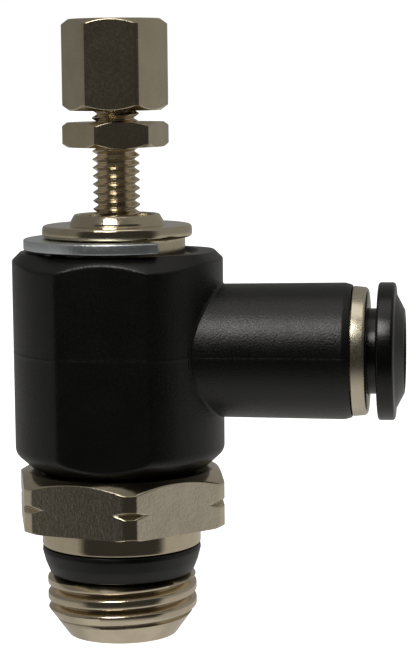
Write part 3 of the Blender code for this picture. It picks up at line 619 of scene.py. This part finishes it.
def stem_upper_outline():
    """The stem's outside from the boss down to the thread, as (radius, height, rounding)."""
    half = RING_GROOVE_HALF
    low_groove, high_groove = RING_GROOVES
    notch_half = (HEX_CORNER_R - HEX_NOTCH_R) * HEX_NOTCH_SLOPE
    return [
        (POCKET_R + 0.02, STEM_TOP - 0.12, 0.05),
        (POCKET_R + 0.1, STEM_TOP, 0.05),
        (BOSS_TOP_R - 0.02, STEM_TOP, 0.14),
        (BOSS_BASE_R, FLANGE_TOP + 0.25, 0.12),
        (BOSS_BASE_R + 0.06, FLANGE_TOP, 0.1),
        (FLANGE_R - 0.05, FLANGE_TOP, 0.3),
        (FLANGE_R, (FLANGE_TOP + FLANGE_BOTTOM) / 2, 0.0),
        (FLANGE_R - 0.02, FLANGE_BOTTOM, 0.28),
        (NECK_R, FLANGE_BOTTOM, 0.1),
        (NECK_R, UPPER_LAND_TOP, 0.1),
        (LAND_R, UPPER_LAND_TOP, 0.12),
        (LAND_R, high_groove + half, 0.08),
        (RING_GROOVE_R, high_groove + half, 0.1),
        (RING_GROOVE_R, high_groove - half, 0.1),
        (LAND_R, high_groove - half, 0.08),
        (LAND_R, UPPER_LAND_BOTTOM, 0.12),
        (SHANK_R, UPPER_LAND_BOTTOM, 0.2),
        (SHANK_R, CHECK_GROOVE[1], 0.08),
        (CHECK_GROOVE_R, CHECK_GROOVE[1], 0.08),
        (CHECK_GROOVE_R, CHECK_GROOVE[0], 0.08),
        (SHANK_R, CHECK_GROOVE[0], 0.08),
        (SHANK_R, LOWER_LAND_TOP, 0.2),
        (LAND_R, LOWER_LAND_TOP, 0.12),
        (LAND_R, low_groove + half, 0.08),
        (RING_GROOVE_R, low_groove + half, 0.1),
        (RING_GROOVE_R, low_groove - half, 0.1),
        (LAND_R, low_groove - half, 0.08),
        (LAND_R, HEX_TOP, 0.1),
        (HEX_TOP_FACE_R, HEX_TOP, 0.1),
        (HEX_CORNER_R, HEX_TOP - HEX_TOP_CHAMFER, 0.05),
        (HEX_CORNER_R, HEX_NOTCH_Z + notch_half, 0.04),
        (HEX_NOTCH_R, HEX_NOTCH_Z, 0.04),
        (HEX_CORNER_R, HEX_NOTCH_Z - notch_half, 0.04),
        (HEX_CORNER_R, COLLAR_TOP + HEX_FOOT_CHAMFER, 0.06),
        (HEX_FOOT_FACE_R, COLLAR_TOP, 0.06),
        (COLLAR_R, COLLAR_TOP, 0.15),
        (COLLAR_R, 0.0, 0.14),
        (SEAL_NECK_R, 0.0, 0.1),
        (SEAL_NECK_R, -SEAL_DEPTH, 0.1),
    ]


def refined(outline, longest, fine_from=None, fine=0.07):
    """An outline with points added so that no step is longer than this, or finer on slopes far out."""
    points = []
    for (r1, z1), (r2, z2) in zip(outline, outline[1:]):
        sloping = min(abs(r2 - r1), abs(z2 - z1)) > 0.001
        step = fine if sloping and fine_from is not None and max(r1, r2) >= fine_from else longest
        steps = max(1, math.ceil(math.hypot(r2 - r1, z2 - z1) / step))
        for k in range(steps):
            points.append((r1 + (r2 - r1) * k / steps, z1 + (z2 - z1) * k / steps))
    points.append(outline[-1])
    return points


def make_stem(m):
    """Hollow stem: crimped boss, flange, neck, lands, notched hexagon, collar and port thread."""
    creases = hexagon_creases(HEX_AF, HEX_CORNER_R, HEX_TURN)
    angles = angles_round(STEM_COLUMNS, creases)
    limit = hexagon_limit(HEX_AF, HEX_TURN)
    upper = fillet(stem_upper_outline() + [(INLET_R, -SEAL_DEPTH, 0.0)])[:-1]
    upper = refined(upper, STEM_STEP, fine_from=HEX_TOP_FACE_R + 0.1)
    upper_rows = plain_rows(upper, angles, limit, soft=0.09)
    thread_top = -SEAL_DEPTH - 0.08
    run_out = 0.35
    trim = chamfer_trim(
        THREAD_R, THREAD_END_R, THREAD_END, THREAD_CHAMFER, THREAD_ROOT_R - 0.1, thread_top, run_out
    )
    thread = thread_rows(
        THREAD_R, THREAD_ROOT_R - 0.04, THREAD_PITCH, THREAD_CREST, THREAD_ROOT, thread_top, THREAD_END,
        angles, trim, THREAD_ROUNDING
    )
    bore = refined(fillet([
        (THREAD_END_R, THREAD_END, 0.0),
        (INLET_R + INLET_FLARE, THREAD_END, 0.08),
        (INLET_R, THREAD_END + INLET_FLARE, 0.08),
        (INLET_R, INLET_TOP, 0.05),
        (CHAMBER_R, INLET_TOP, 0.08),
        (CHAMBER_R, POCKET_BOTTOM, 0.08),
        (POCKET_R, POCKET_BOTTOM, 0.05),
        (POCKET_R, STEM_TOP - 0.3, 0.0),
    ])[1:], BORE_STEP)
    bore_rows = plain_rows(bore, angles)
    rows = np.concatenate([upper_rows, thread, bore_rows])
    finishes = [m["turned_nickel"], m["milled_nickel"], m["thread_nickel"]]
    milled, threaded, cut = 1, 2, 0.03          # two finishes, and how far inside the blank is milled
    outline_r = np.array([radius for radius, height in upper])
    far_out = np.minimum(outline_r, np.roll(outline_r, -1)) > HEX_AF / 2
    on_flat = upper_rows[:, :-1, 0] < outline_r[:, None] - cut
    bands = np.zeros((len(rows), len(angles) - 1), dtype=int)
    bands[:len(upper)] = milled * (on_flat & far_out[:, None])
    bands[len(upper):len(upper) + len(thread)] = threaded
    stem = skin("stem_skin", rows, angles, finishes, bands)
    place(stem, "stem", "nickel", "threaded_stem")


def make_sealing_ring(m):
    """Black tapered ring under the collar, with a soft nose."""
    top = -GAP
    neck = SEAL_NECK_R + PLAY
    ring = turned("port_seal", [
        (COLLAR_R - 0.06, top, 0.12),
        (COLLAR_R, top - 0.4, 0.3),
        (COLLAR_R - 0.25, top - 1.35, 0.5),
        (SEAL_NOSE_R, -SEAL_DEPTH, 0.15),
        (neck, -SEAL_DEPTH, 0.08),
        (neck, top, 0.05),
    ], m["seal"], SHOWN_COLUMNS, 4)
    place(ring, "stem", "seal_plastic", "port_sealing_ring")


# ---- swivel body ----
def barrel_outline():
    """The barrel's outside and bore, with the parting line's ridge at the port's height."""
    crest = 0.012
    lead_in = 0.4
    return [
        (BODY_TOP_FACE_R, BODY_TOP, 0.16),
        (BODY_R, BODY_TOP - BODY_TOP_CHAMFER, 0.45),
        (BODY_R, PORT_Z + PARTING_HALF, 0.0),
        (BODY_R + PARTING_RISE, PORT_Z + crest, 0.0),
        (BODY_R + PARTING_RISE, PORT_Z - crest, 0.0),
        (BODY_R, PORT_Z - PARTING_HALF, 0.0),
        (BODY_R, BODY_BOTTOM + BODY_FOOT_CHAMFER, 1.0),
        (BODY_FOOT_FACE_R, BODY_BOTTOM, 0.25),
        (BODY_BORE_R + lead_in, BODY_BOTTOM, 0.06),
        (BODY_BORE_R, BODY_BOTTOM + lead_in, 0.06),
        (BODY_BORE_R, BODY_TOP - 0.45, 0.06),
        (BODY_MOUTH_R, BODY_TOP, 0.06),
    ]


def narrowed(radius, height, angles):
    """A point of the barrel's top at each angle, with the chamfer smaller away from the flats."""
    side_sine, change = 0.4, 0.45       # narrow up to this sine, and full after this change in it
    narrow = 0.42 * (BODY_R - BODY_TOP_FACE_R)
    depth, small_depth, untouched = 2.0, 1.06, 5.0      # below the top: squeezed, to this, and no more
    share = np.clip((np.abs(np.sin(angles)) - side_sine) / change, 0.0, 1.0)
    share = share * share * (3.0 - 2.0 * share)
    small_r = np.interp(
        radius, [BODY_MOUTH_R, BODY_TOP_FACE_R, BODY_R], [BODY_MOUTH_R, BODY_R - narrow, BODY_R]
    )
    small_z = BODY_TOP - np.interp(
        BODY_TOP - height, [0.0, depth, untouched], [0.0, small_depth, untouched]
    )
    return np.stack([small_r + (radius - small_r) * share, small_z + (height - small_z) * share], axis=1)


def make_barrel(m):
    """The barrel: a round bar with two flats, its top chamfer narrowing away from them."""
    crease = math.asin(BODY_FLAT / BODY_R)
    angles = angles_round(COLUMNS, [crease, math.pi - crease, math.pi + crease, -crease])
    outline = fillet(barrel_outline(), 6)
    outline = refined(outline + [outline[0]], STEP)[:-1]
    limit = flats_limit(BODY_FLAT)
    rows = plain_rows(outline, angles)
    for row, (radius, height) in zip(rows, outline):
        rise = radius - BODY_R if radius > BODY_R else 0.0
        if radius > BODY_MOUTH_R and height > PORT_Z + 3.0:
            row[:] = narrowed(radius, height, angles)
        row[:, 0] = smooth_min(row[:, 0], limit(angles) + rise, 0.15)
    return skin("body_shell", rows, angles, [m["body"]])


def make_port_solid(m):
    """The tube port with a small fillet where it grows out of the barrel."""
    bead, over, start = 0.16, 0.7, 5.0          # the fillet, its depth in the barrel, the inner end
    straight, taper_steps, bead_steps = 0.4, 12, 6
    ridge_half, ridge_slope = 0.6, 0.35         # degrees round the port
    spread = [math.radians(step) for step in (-0.8, -0.5, -0.25, 0.25, 0.5, 0.8)]
    parting = [side + step for side in (math.pi / 2, 3 * math.pi / 2) for step in spread]
    angles = np.unique(np.concatenate([np.linspace(0.0, math.tau, 181), parting]))
    side = np.abs(np.sin(angles))
    off_line = np.degrees(np.arccos(np.clip(side, 0.0, 1.0)))
    ridge = PARTING_RISE * np.clip((ridge_half - off_line) / ridge_slope, 0.0, 1.0)
    root_r = PORT_ROOT_R + ridge

    def barrel_x(radius):
        return np.sqrt(np.maximum(BODY_R ** 2 - (radius * np.sin(angles)) ** 2, 1.0))

    rows = []
    first = PORT_END - PORT_BEVEL - straight
    end = fillet([
        (0.0, PORT_END, 0.0),
        (PORT_BEVEL_R, PORT_END, 0.12),
        (PORT_R, PORT_END - PORT_BEVEL, 0.5),
        (PORT_R, first, 0.0),
        (0.0, first, 0.0),
    ], 6)
    for radius, x in end[:-2]:
        rows.append(np.stack([radius + ridge * (radius > PORT_R - 0.05), np.full(len(angles), x)], axis=1))
    rim = barrel_x(root_r) + bead
    for k in range(taper_steps + 1):
        radius = PORT_R + ridge + (root_r - PORT_R - ridge) * k / taper_steps
        rows.append(np.stack([radius, first + (rim - first) * k / taper_steps], axis=1))
    corner = (root_r, barrel_x(root_r))
    foot = (root_r + bead, barrel_x(root_r + bead) + 0.004)
    for k in range(1, bead_steps + 1):
        t = k / bead_steps
        radius = (1 - t) ** 2 * root_r + 2 * t * (1 - t) * corner[0] + t * t * foot[0]
        x = (1 - t) ** 2 * rim + 2 * t * (1 - t) * corner[1] + t * t * foot[1]
        rows.append(np.stack([radius, x], axis=1))
    rows.append(np.stack([foot[0] + 0.03, foot[1] - over], axis=1))
    rows.append(np.stack([np.full(len(angles), PORT_ROOT_R), np.full(len(angles), start)], axis=1))
    rows.append(np.stack([np.zeros(len(angles)), np.full(len(angles), start)], axis=1))
    return skin("port_solid", np.array(rows), angles, [m["body"]], port=True, closed=False)


def make_body(m):
    """Moulded body: barrel and port joined, then bored through."""
    body = make_barrel(m)
    core_r, core_top, core_bottom = BODY_BORE_R - 0.02, 30.0, 2.0
    passage_start = 3.0
    core = turned("bore_core", [
        (0.0, core_top, 0.0),
        (core_r, core_top, 0.0),
        (core_r, core_bottom, 0.0),
        (0.0, core_bottom, 0.0),
    ], m["body"], COLUMNS)
    port = make_port_solid(m)
    boolean(port, core, "DIFFERENCE")
    boolean(body, port, "UNION")
    bore = turned("port_bore", [
        (0.0, PORT_END + 1.0, 0.0),
        (CARTRIDGE_BORE_R, PORT_END + 1.0, 0.0),
        (CARTRIDGE_BORE_R, CARTRIDGE_SEAT, 0.0),
        (TUBE_GUIDE_R + 0.25, CARTRIDGE_SEAT, 0.0),
        (TUBE_GUIDE_R, CARTRIDGE_SEAT - 0.25, 0.0),
        (TUBE_GUIDE_R, TUBE_STOP, 0.0),
        (PASSAGE_R, TUBE_STOP, 0.0),
        (PASSAGE_R, passage_start, 0.0),
        (0.0, passage_start, 0.0),
    ], m["body"], 96, port=True)
    boolean(body, bore, "DIFFERENCE")
    shade(body.data)
    weigh_normals(body, 50)
    place(body, "elbow", "body_plastic", "swivel_body")


# ---- clip ----
def make_clip(m):
    """Punched horseshoe clip with rolled edges."""
    edge = 0.12
    end_angle = math.acos(CLIP_ARM_END / CLIP_R)
    outline = []
    outer_steps, inner_steps = 120, 80
    for i in range(outer_steps + 1):
        angle = end_angle + i * (math.tau - 2 * end_angle) / outer_steps
        outline.append((CLIP_R * math.cos(angle), CLIP_R * math.sin(angle)))
    outline.append((CLIP_ARM_END, -CLIP_SLOT))
    for i in range(inner_steps + 1):
        angle = -math.pi / 2 - i * math.pi / inner_steps
        outline.append((CLIP_SLOT * math.cos(angle), CLIP_SLOT * math.sin(angle)))
    outline.append((CLIP_ARM_END, CLIP_SLOT))
    curve = bpy.data.curves.new("clip_outline", "CURVE")
    curve.dimensions = "2D"
    curve.fill_mode = "BOTH"
    curve.extrude = ((CLIP_TOP - CLIP_BOTTOM) / 2 - edge) * MM
    curve.bevel_depth = edge * MM
    curve.bevel_resolution = 3
    curve.offset = -edge * MM
    spline = curve.splines.new("POLY")
    spline.points.add(len(outline) - 1)
    for point, (x, y) in zip(spline.points, outline):
        point.co = (x * MM, y * MM, 0.0, 1.0)
    spline.use_cyclic_u = True
    shape = add_object("clip_outline", curve)
    bpy.context.view_layer.update()
    mesh = bpy.data.meshes.new_from_object(shape.evaluated_get(bpy.context.evaluated_depsgraph_get()))
    bpy.data.objects.remove(shape, do_unlink=True)
    mesh.transform(Matrix.Translation((0.0, 0.0, (CLIP_TOP + CLIP_BOTTOM) / 2 * MM)))
    mesh.materials.clear()
    clip = add_piece("clip_plate", mesh, [m["zinc"]])
    place(clip, "clip", "zinc", "retaining_clip")


# ---- needle, knob and nut ----
def make_needle(m):
    """Needle: fine thread, seal land, groove and long taper."""
    angles = angles_round(SCREW_COLUMNS)
    thread_top = KNOB_BOTTOM + 0.4
    trim = chamfer_trim(
        SCREW_R, SCREW_ROOT_R, SCREW_BOTTOM, SCREW_CHAMFER, SCREW_ROOT_R, thread_top, SCREW_CHAMFER
    )
    thread = thread_rows(
        SCREW_R, SCREW_ROOT_R - 0.03, SCREW_PITCH, SCREW_CREST, SCREW_CREST, thread_top, SCREW_BOTTOM,
        angles, trim, SCREW_ROUNDING
    )
    half, stop = NEEDLE_GROOVE_HALF, POCKET_BOTTOM - GAP
    head_r, head_top, relief_r = 1.5, KNOB_TOP - 1.6, 1.52
    head = plain_rows([(0.0, head_top), (head_r, head_top), (head_r, thread_top)], angles)
    foot = fillet([
        (relief_r, SCREW_BOTTOM, 0.0),
        (relief_r, stop, 0.06),
        (NEEDLE_LAND_R, stop, 0.08),
        (NEEDLE_LAND_R, NEEDLE_GROOVE_Z + half, 0.08),
        (NEEDLE_GROOVE_R, NEEDLE_GROOVE_Z + half, 0.08),
        (NEEDLE_GROOVE_R, NEEDLE_GROOVE_Z - half, 0.08),
        (NEEDLE_LAND_R, NEEDLE_GROOVE_Z - half, 0.08),
        (NEEDLE_LAND_R, NEEDLE_LAND_BOTTOM, 0.1),
        (NEEDLE_STEM_R, NEEDLE_LAND_BOTTOM - 0.2, 0.1),
        (NEEDLE_STEM_R, NEEDLE_LAND_BOTTOM - 2.0, 0.3),
        (0.75, NEEDLE_TIP + 0.3, 0.2),
        (0.45, NEEDLE_TIP, 0.1),
        (0.0, NEEDLE_TIP, 0.0),
    ])
    rows = np.concatenate([head, thread, plain_rows(foot, angles)])
    needle = skin("needle_screw", rows, angles, [m["thread_nickel"]], closed=False)
    place(needle, "needle", "nickel", "metering_needle")


def make_hexagon_piece(name, across_flats, corner_r, corner_angle, outline, material, soft):
    """A turned and bored blank with six flats, finely divided along its chamfers."""
    angles = angles_round(COLUMNS, hexagon_creases(across_flats, corner_r, corner_angle))
    points = fillet(outline, 6)
    points = refined(points + [points[0]], STEP, fine_from=across_flats / 2 - 0.2, fine=0.05)[:-1]
    rows = plain_rows(points, angles, hexagon_limit(across_flats, corner_angle), soft)
    return skin(name, rows, angles, [material])


def make_knob(m):
    """Hexagonal knob: chamfered, dished on top and counterbored below."""
    bore = SCREW_R + GAP
    blind_r, blind_top = 1.6, KNOB_TOP - 1.5
    dish = KNOB_TOP - 0.28
    knob = make_hexagon_piece("knob_hexagon", KNOB_AF, KNOB_CORNER_R, KNOB_TURN, [
        (1.15, dish, 0.2),
        (1.75, KNOB_TOP - 0.02, 0.12),
        (KNOB_FACE_R, KNOB_TOP, 0.06),
        (KNOB_CORNER_R, KNOB_TOP - KNOB_CHAMFER, 0.06),
        (KNOB_CORNER_R, KNOB_BOTTOM + KNOB_CHAMFER, 0.06),
        (KNOB_FACE_R, KNOB_BOTTOM, 0.06),
        (bore + 0.2, KNOB_BOTTOM, 0.05),
        (bore, KNOB_BOTTOM + 0.2, 0.05),
        (bore, KNOB_BOTTOM + 0.45, 0.0),
        (blind_r, KNOB_BOTTOM + 0.7, 0.0),
        (blind_r, blind_top, 0.0),
        (0.0, blind_top, 0.0),
        (0.0, dish, 0.0),
    ], m["drawn_nickel"], 0.05)
    place(knob, "needle", "nickel", "adjusting_knob")


def make_lock_nut(m):
    """Thin hexagonal nut, chamfered on both faces."""
    bore = SCREW_R + GAP
    sink = 0.28
    nut = make_hexagon_piece("nut_hexagon", KNOB_AF, NUT_CORNER_R, NUT_TURN, [
        (NUT_FACE_R, NUT_TOP, 0.05),
        (NUT_CORNER_R, NUT_TOP - NUT_CHAMFER, 0.05),
        (NUT_CORNER_R, NUT_BOTTOM + NUT_CHAMFER, 0.05),
        (NUT_FACE_R, NUT_BOTTOM, 0.05),
        (bore + sink, NUT_BOTTOM, 0.04),
        (bore, NUT_BOTTOM + sink, 0.04),
        (bore, NUT_TOP - sink, 0.04),
        (bore + sink, NUT_TOP, 0.04),
    ], m["drawn_nickel"], 0.04)
    place(nut, "nut", "nickel", "lock_nut")


# ---- push-in cartridge ----
def make_cartridge_ring(m):
    """Plated sleeve whose rolled rim shows at the port's mouth."""
    rim = PORT_END + GAP
    lip = BUTTON_NECK_R + 0.15
    wall = 0.4
    ring = turned("cartridge_sleeve", [
        (COVER_NOSE_R, COVER_END, COVER_ROLL),
        (COVER_R, rim, 0.06),
        (SLEEVE_R, rim, 0.05),
        (SLEEVE_R, SLEEVE_START, 0.08),
        (SLEEVE_R - wall, SLEEVE_START, 0.08),
        (SLEEVE_R - wall, COVER_END - 0.95, 0.05),
        (lip, COVER_END - 0.75, 0.05),
        (lip, COVER_END, 0.12),
    ], m["port_nickel"], SHOWN_COLUMNS, 8, port=True)
    place(ring, "elbow", "nickel", "cartridge_ring")


def make_release_button(m):
    """Release button: disc, coned face, neck and a slit nose with a barb."""
    barb_top = COVER_END - 1.4
    button = turned("button_body", [
        (BUTTON_END_R, BUTTON_END, 0.12),
        (BUTTON_R - 0.95, BUTTON_FRONT, 0.2),
        (BUTTON_R, BUTTON_FRONT - 0.08, 0.28),
        (BUTTON_R, BUTTON_BACK, 0.2),
        (BUTTON_NECK_R, BUTTON_BACK, 0.2),
        (BUTTON_NECK_R, barb_top, 0.06),
        (BUTTON_BARB_R, barb_top - 0.1, 0.05),
        (BUTTON_BARB_R, barb_top - 0.7, 0.1),
        (BUTTON_NOSE_R + 0.1, BUTTON_NOSE + 0.7, 0.1),
        (BUTTON_NOSE_R, BUTTON_NOSE, 0.08),
        (BUTTON_BORE_R, BUTTON_NOSE, 0.05),
        (BUTTON_BORE_R, BUTTON_END - 0.2, 0.06),
        (BUTTON_BORE_R + 0.2, BUTTON_END, 0.06),
    ], m["button"], SHOWN_COLUMNS, 6, port=True)
    slit_size = (5.0, 0.6, 3.6)
    slits = boxes_round("button_slits", 4, (4.5, 0.0, BUTTON_NOSE + 1.1), slit_size, math.pi / 4)
    boolean(button, slits, "DIFFERENCE")
    shade(button.data)
    place(button, "button", "button_plastic", "release_button")


def make_grip_ring(m):
    """Toothed spring washer behind the button's nose."""
    face, thick, lean = 16.2, 0.26, 0.5
    fold_r, tip_r = 3.9, 2.98
    ring = turned("grip_teeth", [
        (SLEEVE_R, face, 0.05),
        (SLEEVE_R, face - thick, 0.05),
        (fold_r, face - thick, 0.1),
        (tip_r, face - thick - lean, 0.03),
        (tip_r, face - lean, 0.03),
        (fold_r, face, 0.1),
    ], m["stainless"], port=True)
    slot_size = (1.8, 0.5, 2.0)
    slots = boxes_round("tooth_slots", 8, (3.2, 0.0, face - 0.4), slot_size, 0.0)
    boolean(ring, slots, "DIFFERENCE")
    shade(ring.data)
    place(ring, "elbow", "stainless", "grip_ring")


def make_grip_spacer(m):
    """Natural acetal ring between the grip ring and the tube seal."""
    back, face = 14.8, 15.85
    bore = TUBE_GUIDE_R + 0.05
    spacer = turned("grip_spacer", [
        (SLEEVE_R, face, 0.06),
        (SLEEVE_R, back, 0.06),
        (bore, back, 0.06),
        (bore, back + 0.4, 0.05),
        (3.95, back + 0.5, 0.05),
        (4.05, face, 0.05),
    ], m["acetal"], port=True)
    place(spacer, "elbow", "acetal", "grip_ring_spacer")


# ---- hidden rings and bushes ----
def make_guide_bush(m):
    """Brass bush that guides the needle's thread, with a groove for its ring."""
    outer = POCKET_R - PLAY
    bore = SCREW_R + GAP
    bush = turned("guide_bush", [
        (outer, BUSH_TOP, 0.15),
        (outer, BUSH_GROOVE[1], 0.05),
        (BUSH_GROOVE_R, BUSH_GROOVE[1], 0.05),
        (BUSH_GROOVE_R, BUSH_GROOVE[0], 0.05),
        (outer, BUSH_GROOVE[0], 0.05),
        (outer, POCKET_BOTTOM + GAP, 0.05),
        (bore, POCKET_BOTTOM + GAP, 0.05),
        (bore, BUSH_TOP - 0.3, 0.05),
        (bore + 0.3, BUSH_TOP, 0.05),
    ], m["brass"])
    place(bush, "stem", "plain_brass", "needle_guide_bush")


def make_seat_ring(m):
    """Brass ring whose throat the needle closes."""
    outer = INLET_R - PLAY
    rim = 0.42
    seat = turned("seat_ring", [
        (outer, SEAT_TOP, 0.06),
        (outer, SEAT_TOP - rim, 0.03),
        (SEAT_GROOVE_R, SEAT_TOP - rim, 0.03),
        (SEAT_GROOVE_R, SEAT_BOTTOM + rim, 0.03),
        (outer, SEAT_BOTTOM + rim, 0.03),
        (outer, SEAT_BOTTOM, 0.06),
        (2.25, SEAT_BOTTOM, 0.05),
        (SEAT_THROAT_R, SEAT_BOTTOM + 0.7, 0.1),
        (SEAT_THROAT_R, SEAT_TOP, 0.05),
    ], m["brass"])
    place(seat, "stem", "plain_brass", "needle_seat_ring")


def make_check_seal(m):
    """One-way seal: a ring in the stem's groove with a lip that leans out and down."""
    groove_bottom, groove_top = CHECK_GROOVE[0] + GAP, CHECK_GROOVE[1] - GAP
    root_r, lip_r, lip_end = CHECK_GROOVE_R + PLAY, BODY_BORE_R - PLAY, 10.75
    check = turned("check_seal", [
        (4.9, groove_top, 0.1),
        (5.2, 11.9, 0.1),
        (lip_r, lip_end + 0.4, 0.12),
        (lip_r, lip_end, 0.12),
        (6.1, lip_end, 0.12),
        (5.1, 11.35, 0.12),
        (4.95, groove_bottom, 0.1),
        (root_r, groove_bottom, 0.1),
        (root_r, groove_top, 0.1),
    ], m["nitrile"])
    place(check, "stem", "nitrile", "check_lip_seal")


def make_o_rings(m):
    """The O-rings: name, CAD node, body, inner and outer radius, height of the middle, half height."""
    body_ring = (RING_GROOVE_R + 0.05, BODY_BORE_R - 0.05)
    half = RING_GROOVE_HALF - PLAY
    for name, node, body, (inner, outer), middle, rise in (
        ("lower_body_ring", "lower_body_o_ring", "stem", body_ring, RING_GROOVES[0], half),
        ("upper_body_ring", "upper_body_o_ring", "stem", body_ring, RING_GROOVES[1], half),
        ("needle_ring", "needle_o_ring", "needle_slide",
         (NEEDLE_GROOVE_R + 0.04, CHAMBER_R - 0.04), NEEDLE_GROOVE_Z, 0.52),
        ("bush_ring", "guide_bush_o_ring", "stem",
         (BUSH_GROOVE_R + 0.04, POCKET_R - 0.05), sum(BUSH_GROOVE) / 2, 0.44),
        ("seat_seal", "seat_ring_o_ring", "stem",
         (SEAT_GROOVE_R + 0.04, INLET_R - 0.06), (SEAT_TOP + SEAT_BOTTOM) / 2, 0.37),
    ):
        ring = elastomer_ring(name, inner, outer, middle - rise, middle + rise, m["nitrile"])
        place(ring, body, "nitrile", node)
    tube_seal = elastomer_ring(
        "tube_seal", 2.95, CARTRIDGE_BORE_R - 0.05, CARTRIDGE_SEAT + PLAY, 14.7, m["nitrile"], port=True
    )
    place(tube_seal, "elbow", "nitrile", "tube_o_ring")


# ---- studio ----
VIEW_AZIMUTH = math.radians(-80.2)      # from the stem's axis towards the camera


def make_world():
    """Pale studio, dark round the camera and brighter low down; the camera itself sees plain white."""
    world = bpy.data.worlds.new("studio")
    bpy.context.scene.world = world
    world.use_nodes = True
    tree = world.node_tree
    tree.nodes.clear()
    direction = tree.nodes.new("ShaderNodeTexCoord").outputs["Generated"]

    def along(x, y, z):
        """How far the direction looked in points along this one, from -1 to 1."""
        node = tree.nodes.new("ShaderNodeVectorMath")
        node.operation = "DOT_PRODUCT"
        node.inputs[1].default_value = (x, y, z)
        tree.links.new(direction, node.inputs[0])
        return node.outputs["Value"]

    def ramp(value, start, end, first, last):
        """A strength that goes from first to last as the value goes from start to end."""
        node = tree.nodes.new("ShaderNodeMapRange")
        node.interpolation_type = "SMOOTHSTEP"
        tree.links.new(value, node.inputs["Value"])
        for name, number in (("From Min", start), ("From Max", end), ("To Min", first), ("To Max", last)):
            if isinstance(number, float):
                node.inputs[name].default_value = number
            else:
                tree.links.new(number, node.inputs[name])
        return node.outputs["Result"]

    towards = along(math.cos(VIEW_AZIMUTH), math.sin(VIEW_AZIMUTH), 0.0)
    rightwards = along(-math.sin(VIEW_AZIMUTH), math.cos(VIEW_AZIMUTH), 0.0)
    downwards = along(0.0, 0.0, -1.0)
    low_side = ramp(rightwards, -0.6, 0.6, 0.42, 0.50)
    high_side = ramp(rightwards, -0.6, 0.6, 0.20, 0.29)
    side = ramp(downwards, 0.02, 0.22, high_side, low_side)
    overhead = ramp(downwards, -0.85, -0.45, 0.20, 0.042)
    front = ramp(downwards, 0.34, 0.75, overhead, 0.42)
    room = ramp(towards, 0.34, 0.58, side, front)
    strength = ramp(downwards, 0.72, 0.88, room, 0.60)
    studio = tree.nodes.new("ShaderNodeBackground")
    studio.inputs["Color"].default_value = (1.0, 0.985, 0.95, 1.0)
    tree.links.new(strength, studio.inputs["Strength"])
    white = tree.nodes.new("ShaderNodeBackground")
    white.inputs["Color"].default_value = (1.0, 1.0, 1.0, 1.0)
    rays = tree.nodes.new("ShaderNodeLightPath")
    mix = tree.nodes.new("ShaderNodeMixShader")
    tree.links.new(rays.outputs["Is Camera Ray"], mix.inputs["Fac"])
    tree.links.new(studio.outputs["Background"], mix.inputs[1])
    tree.links.new(white.outputs["Background"], mix.inputs[2])
    out = tree.nodes.new("ShaderNodeOutputWorld")
    tree.links.new(mix.outputs["Shader"], out.inputs["Surface"])


def area_light(name, azimuth, elevation, width, height, power):
    """A rectangular soft light aimed at the middle of the object; angles in degrees, sizes in metres."""
    middle, distance = Vector((0.004, 0.0, 0.018)), 0.32
    light = bpy.data.lights.new(name, "AREA")
    light.shape = "RECTANGLE"
    light.size = width
    light.size_y = height
    light.energy = power
    light.color = (1.0, 0.98, 0.95)
    a, e = math.radians(azimuth), math.radians(elevation)
    away = Vector((math.cos(a) * math.cos(e), math.sin(a) * math.cos(e), math.sin(e)))
    lamp = add_object(name, light)
    lamp.location = middle + away * distance
    lamp.rotation_euler = away.to_track_quat("Z", "Y").to_euler()


def make_floor():
    """A plain pale floor that the camera sees and the object's surfaces don't reflect."""
    half_width, drop = 4.0, 0.00005
    mesh = bpy.data.meshes.new("floor")
    shape = bmesh.new()
    bmesh.ops.create_grid(shape, x_segments=8, y_segments=8, size=half_width)
    shape.to_mesh(mesh)
    shape.free()
    floor = add_object("floor", mesh)
    floor.location.z = CAD_BOX[0].z - drop
    floor.visible_glossy = False
    floor.visible_diffuse = False
    material = bpy.data.materials.new("pale_floor")
    material.use_nodes = True
    shader = material.node_tree.nodes["Principled BSDF"]
    shader.inputs["Base Color"].default_value = (0.85, 0.85, 0.84, 1.0)
    shader.inputs["Roughness"].default_value = 0.9
    shader.inputs["Emission Color"].default_value = (1.0, 1.0, 1.0, 1.0)
    shader.inputs["Emission Strength"].default_value = 1.0
    mesh.materials.append(material)


def make_camera():
    """The camera, in front of the port's side and a little above."""
    data = bpy.data.cameras.new("camera")
    data.sensor_width = 36.0
    data.lens = 117.6
    data.clip_start = 0.01
    data.clip_end = 20.0
    camera = add_object("camera", data)
    camera.location = (31.3 * MM, -180.7 * MM, 40.0 * MM)
    camera.rotation_euler = (math.radians(83.26), math.radians(0.6), math.radians(7.35))
    bpy.context.scene.camera = camera


def main():
    """Build every piece, then the studio."""
    materials = make_materials()
    make_stem(materials)
    make_sealing_ring(materials)
    make_body(materials)
    make_clip(materials)
    make_needle(materials)
    make_knob(materials)
    make_lock_nut(materials)
    make_cartridge_ring(materials)
    make_release_button(materials)
    make_grip_ring(materials)
    make_grip_spacer(materials)
    make_guide_bush(materials)
    make_seat_ring(materials)
    make_check_seal(materials)
    make_o_rings(materials)
    make_world()
    area_light("key", azimuth=-103.0, elevation=46.0, width=0.14, height=0.12, power=0.46)
    area_light("top", azimuth=-90.0, elevation=84.0, width=0.22, height=0.18, power=0.12)
    make_floor()
    make_camera()
    bpy.context.scene.view_settings.view_transform = "Standard"


main()
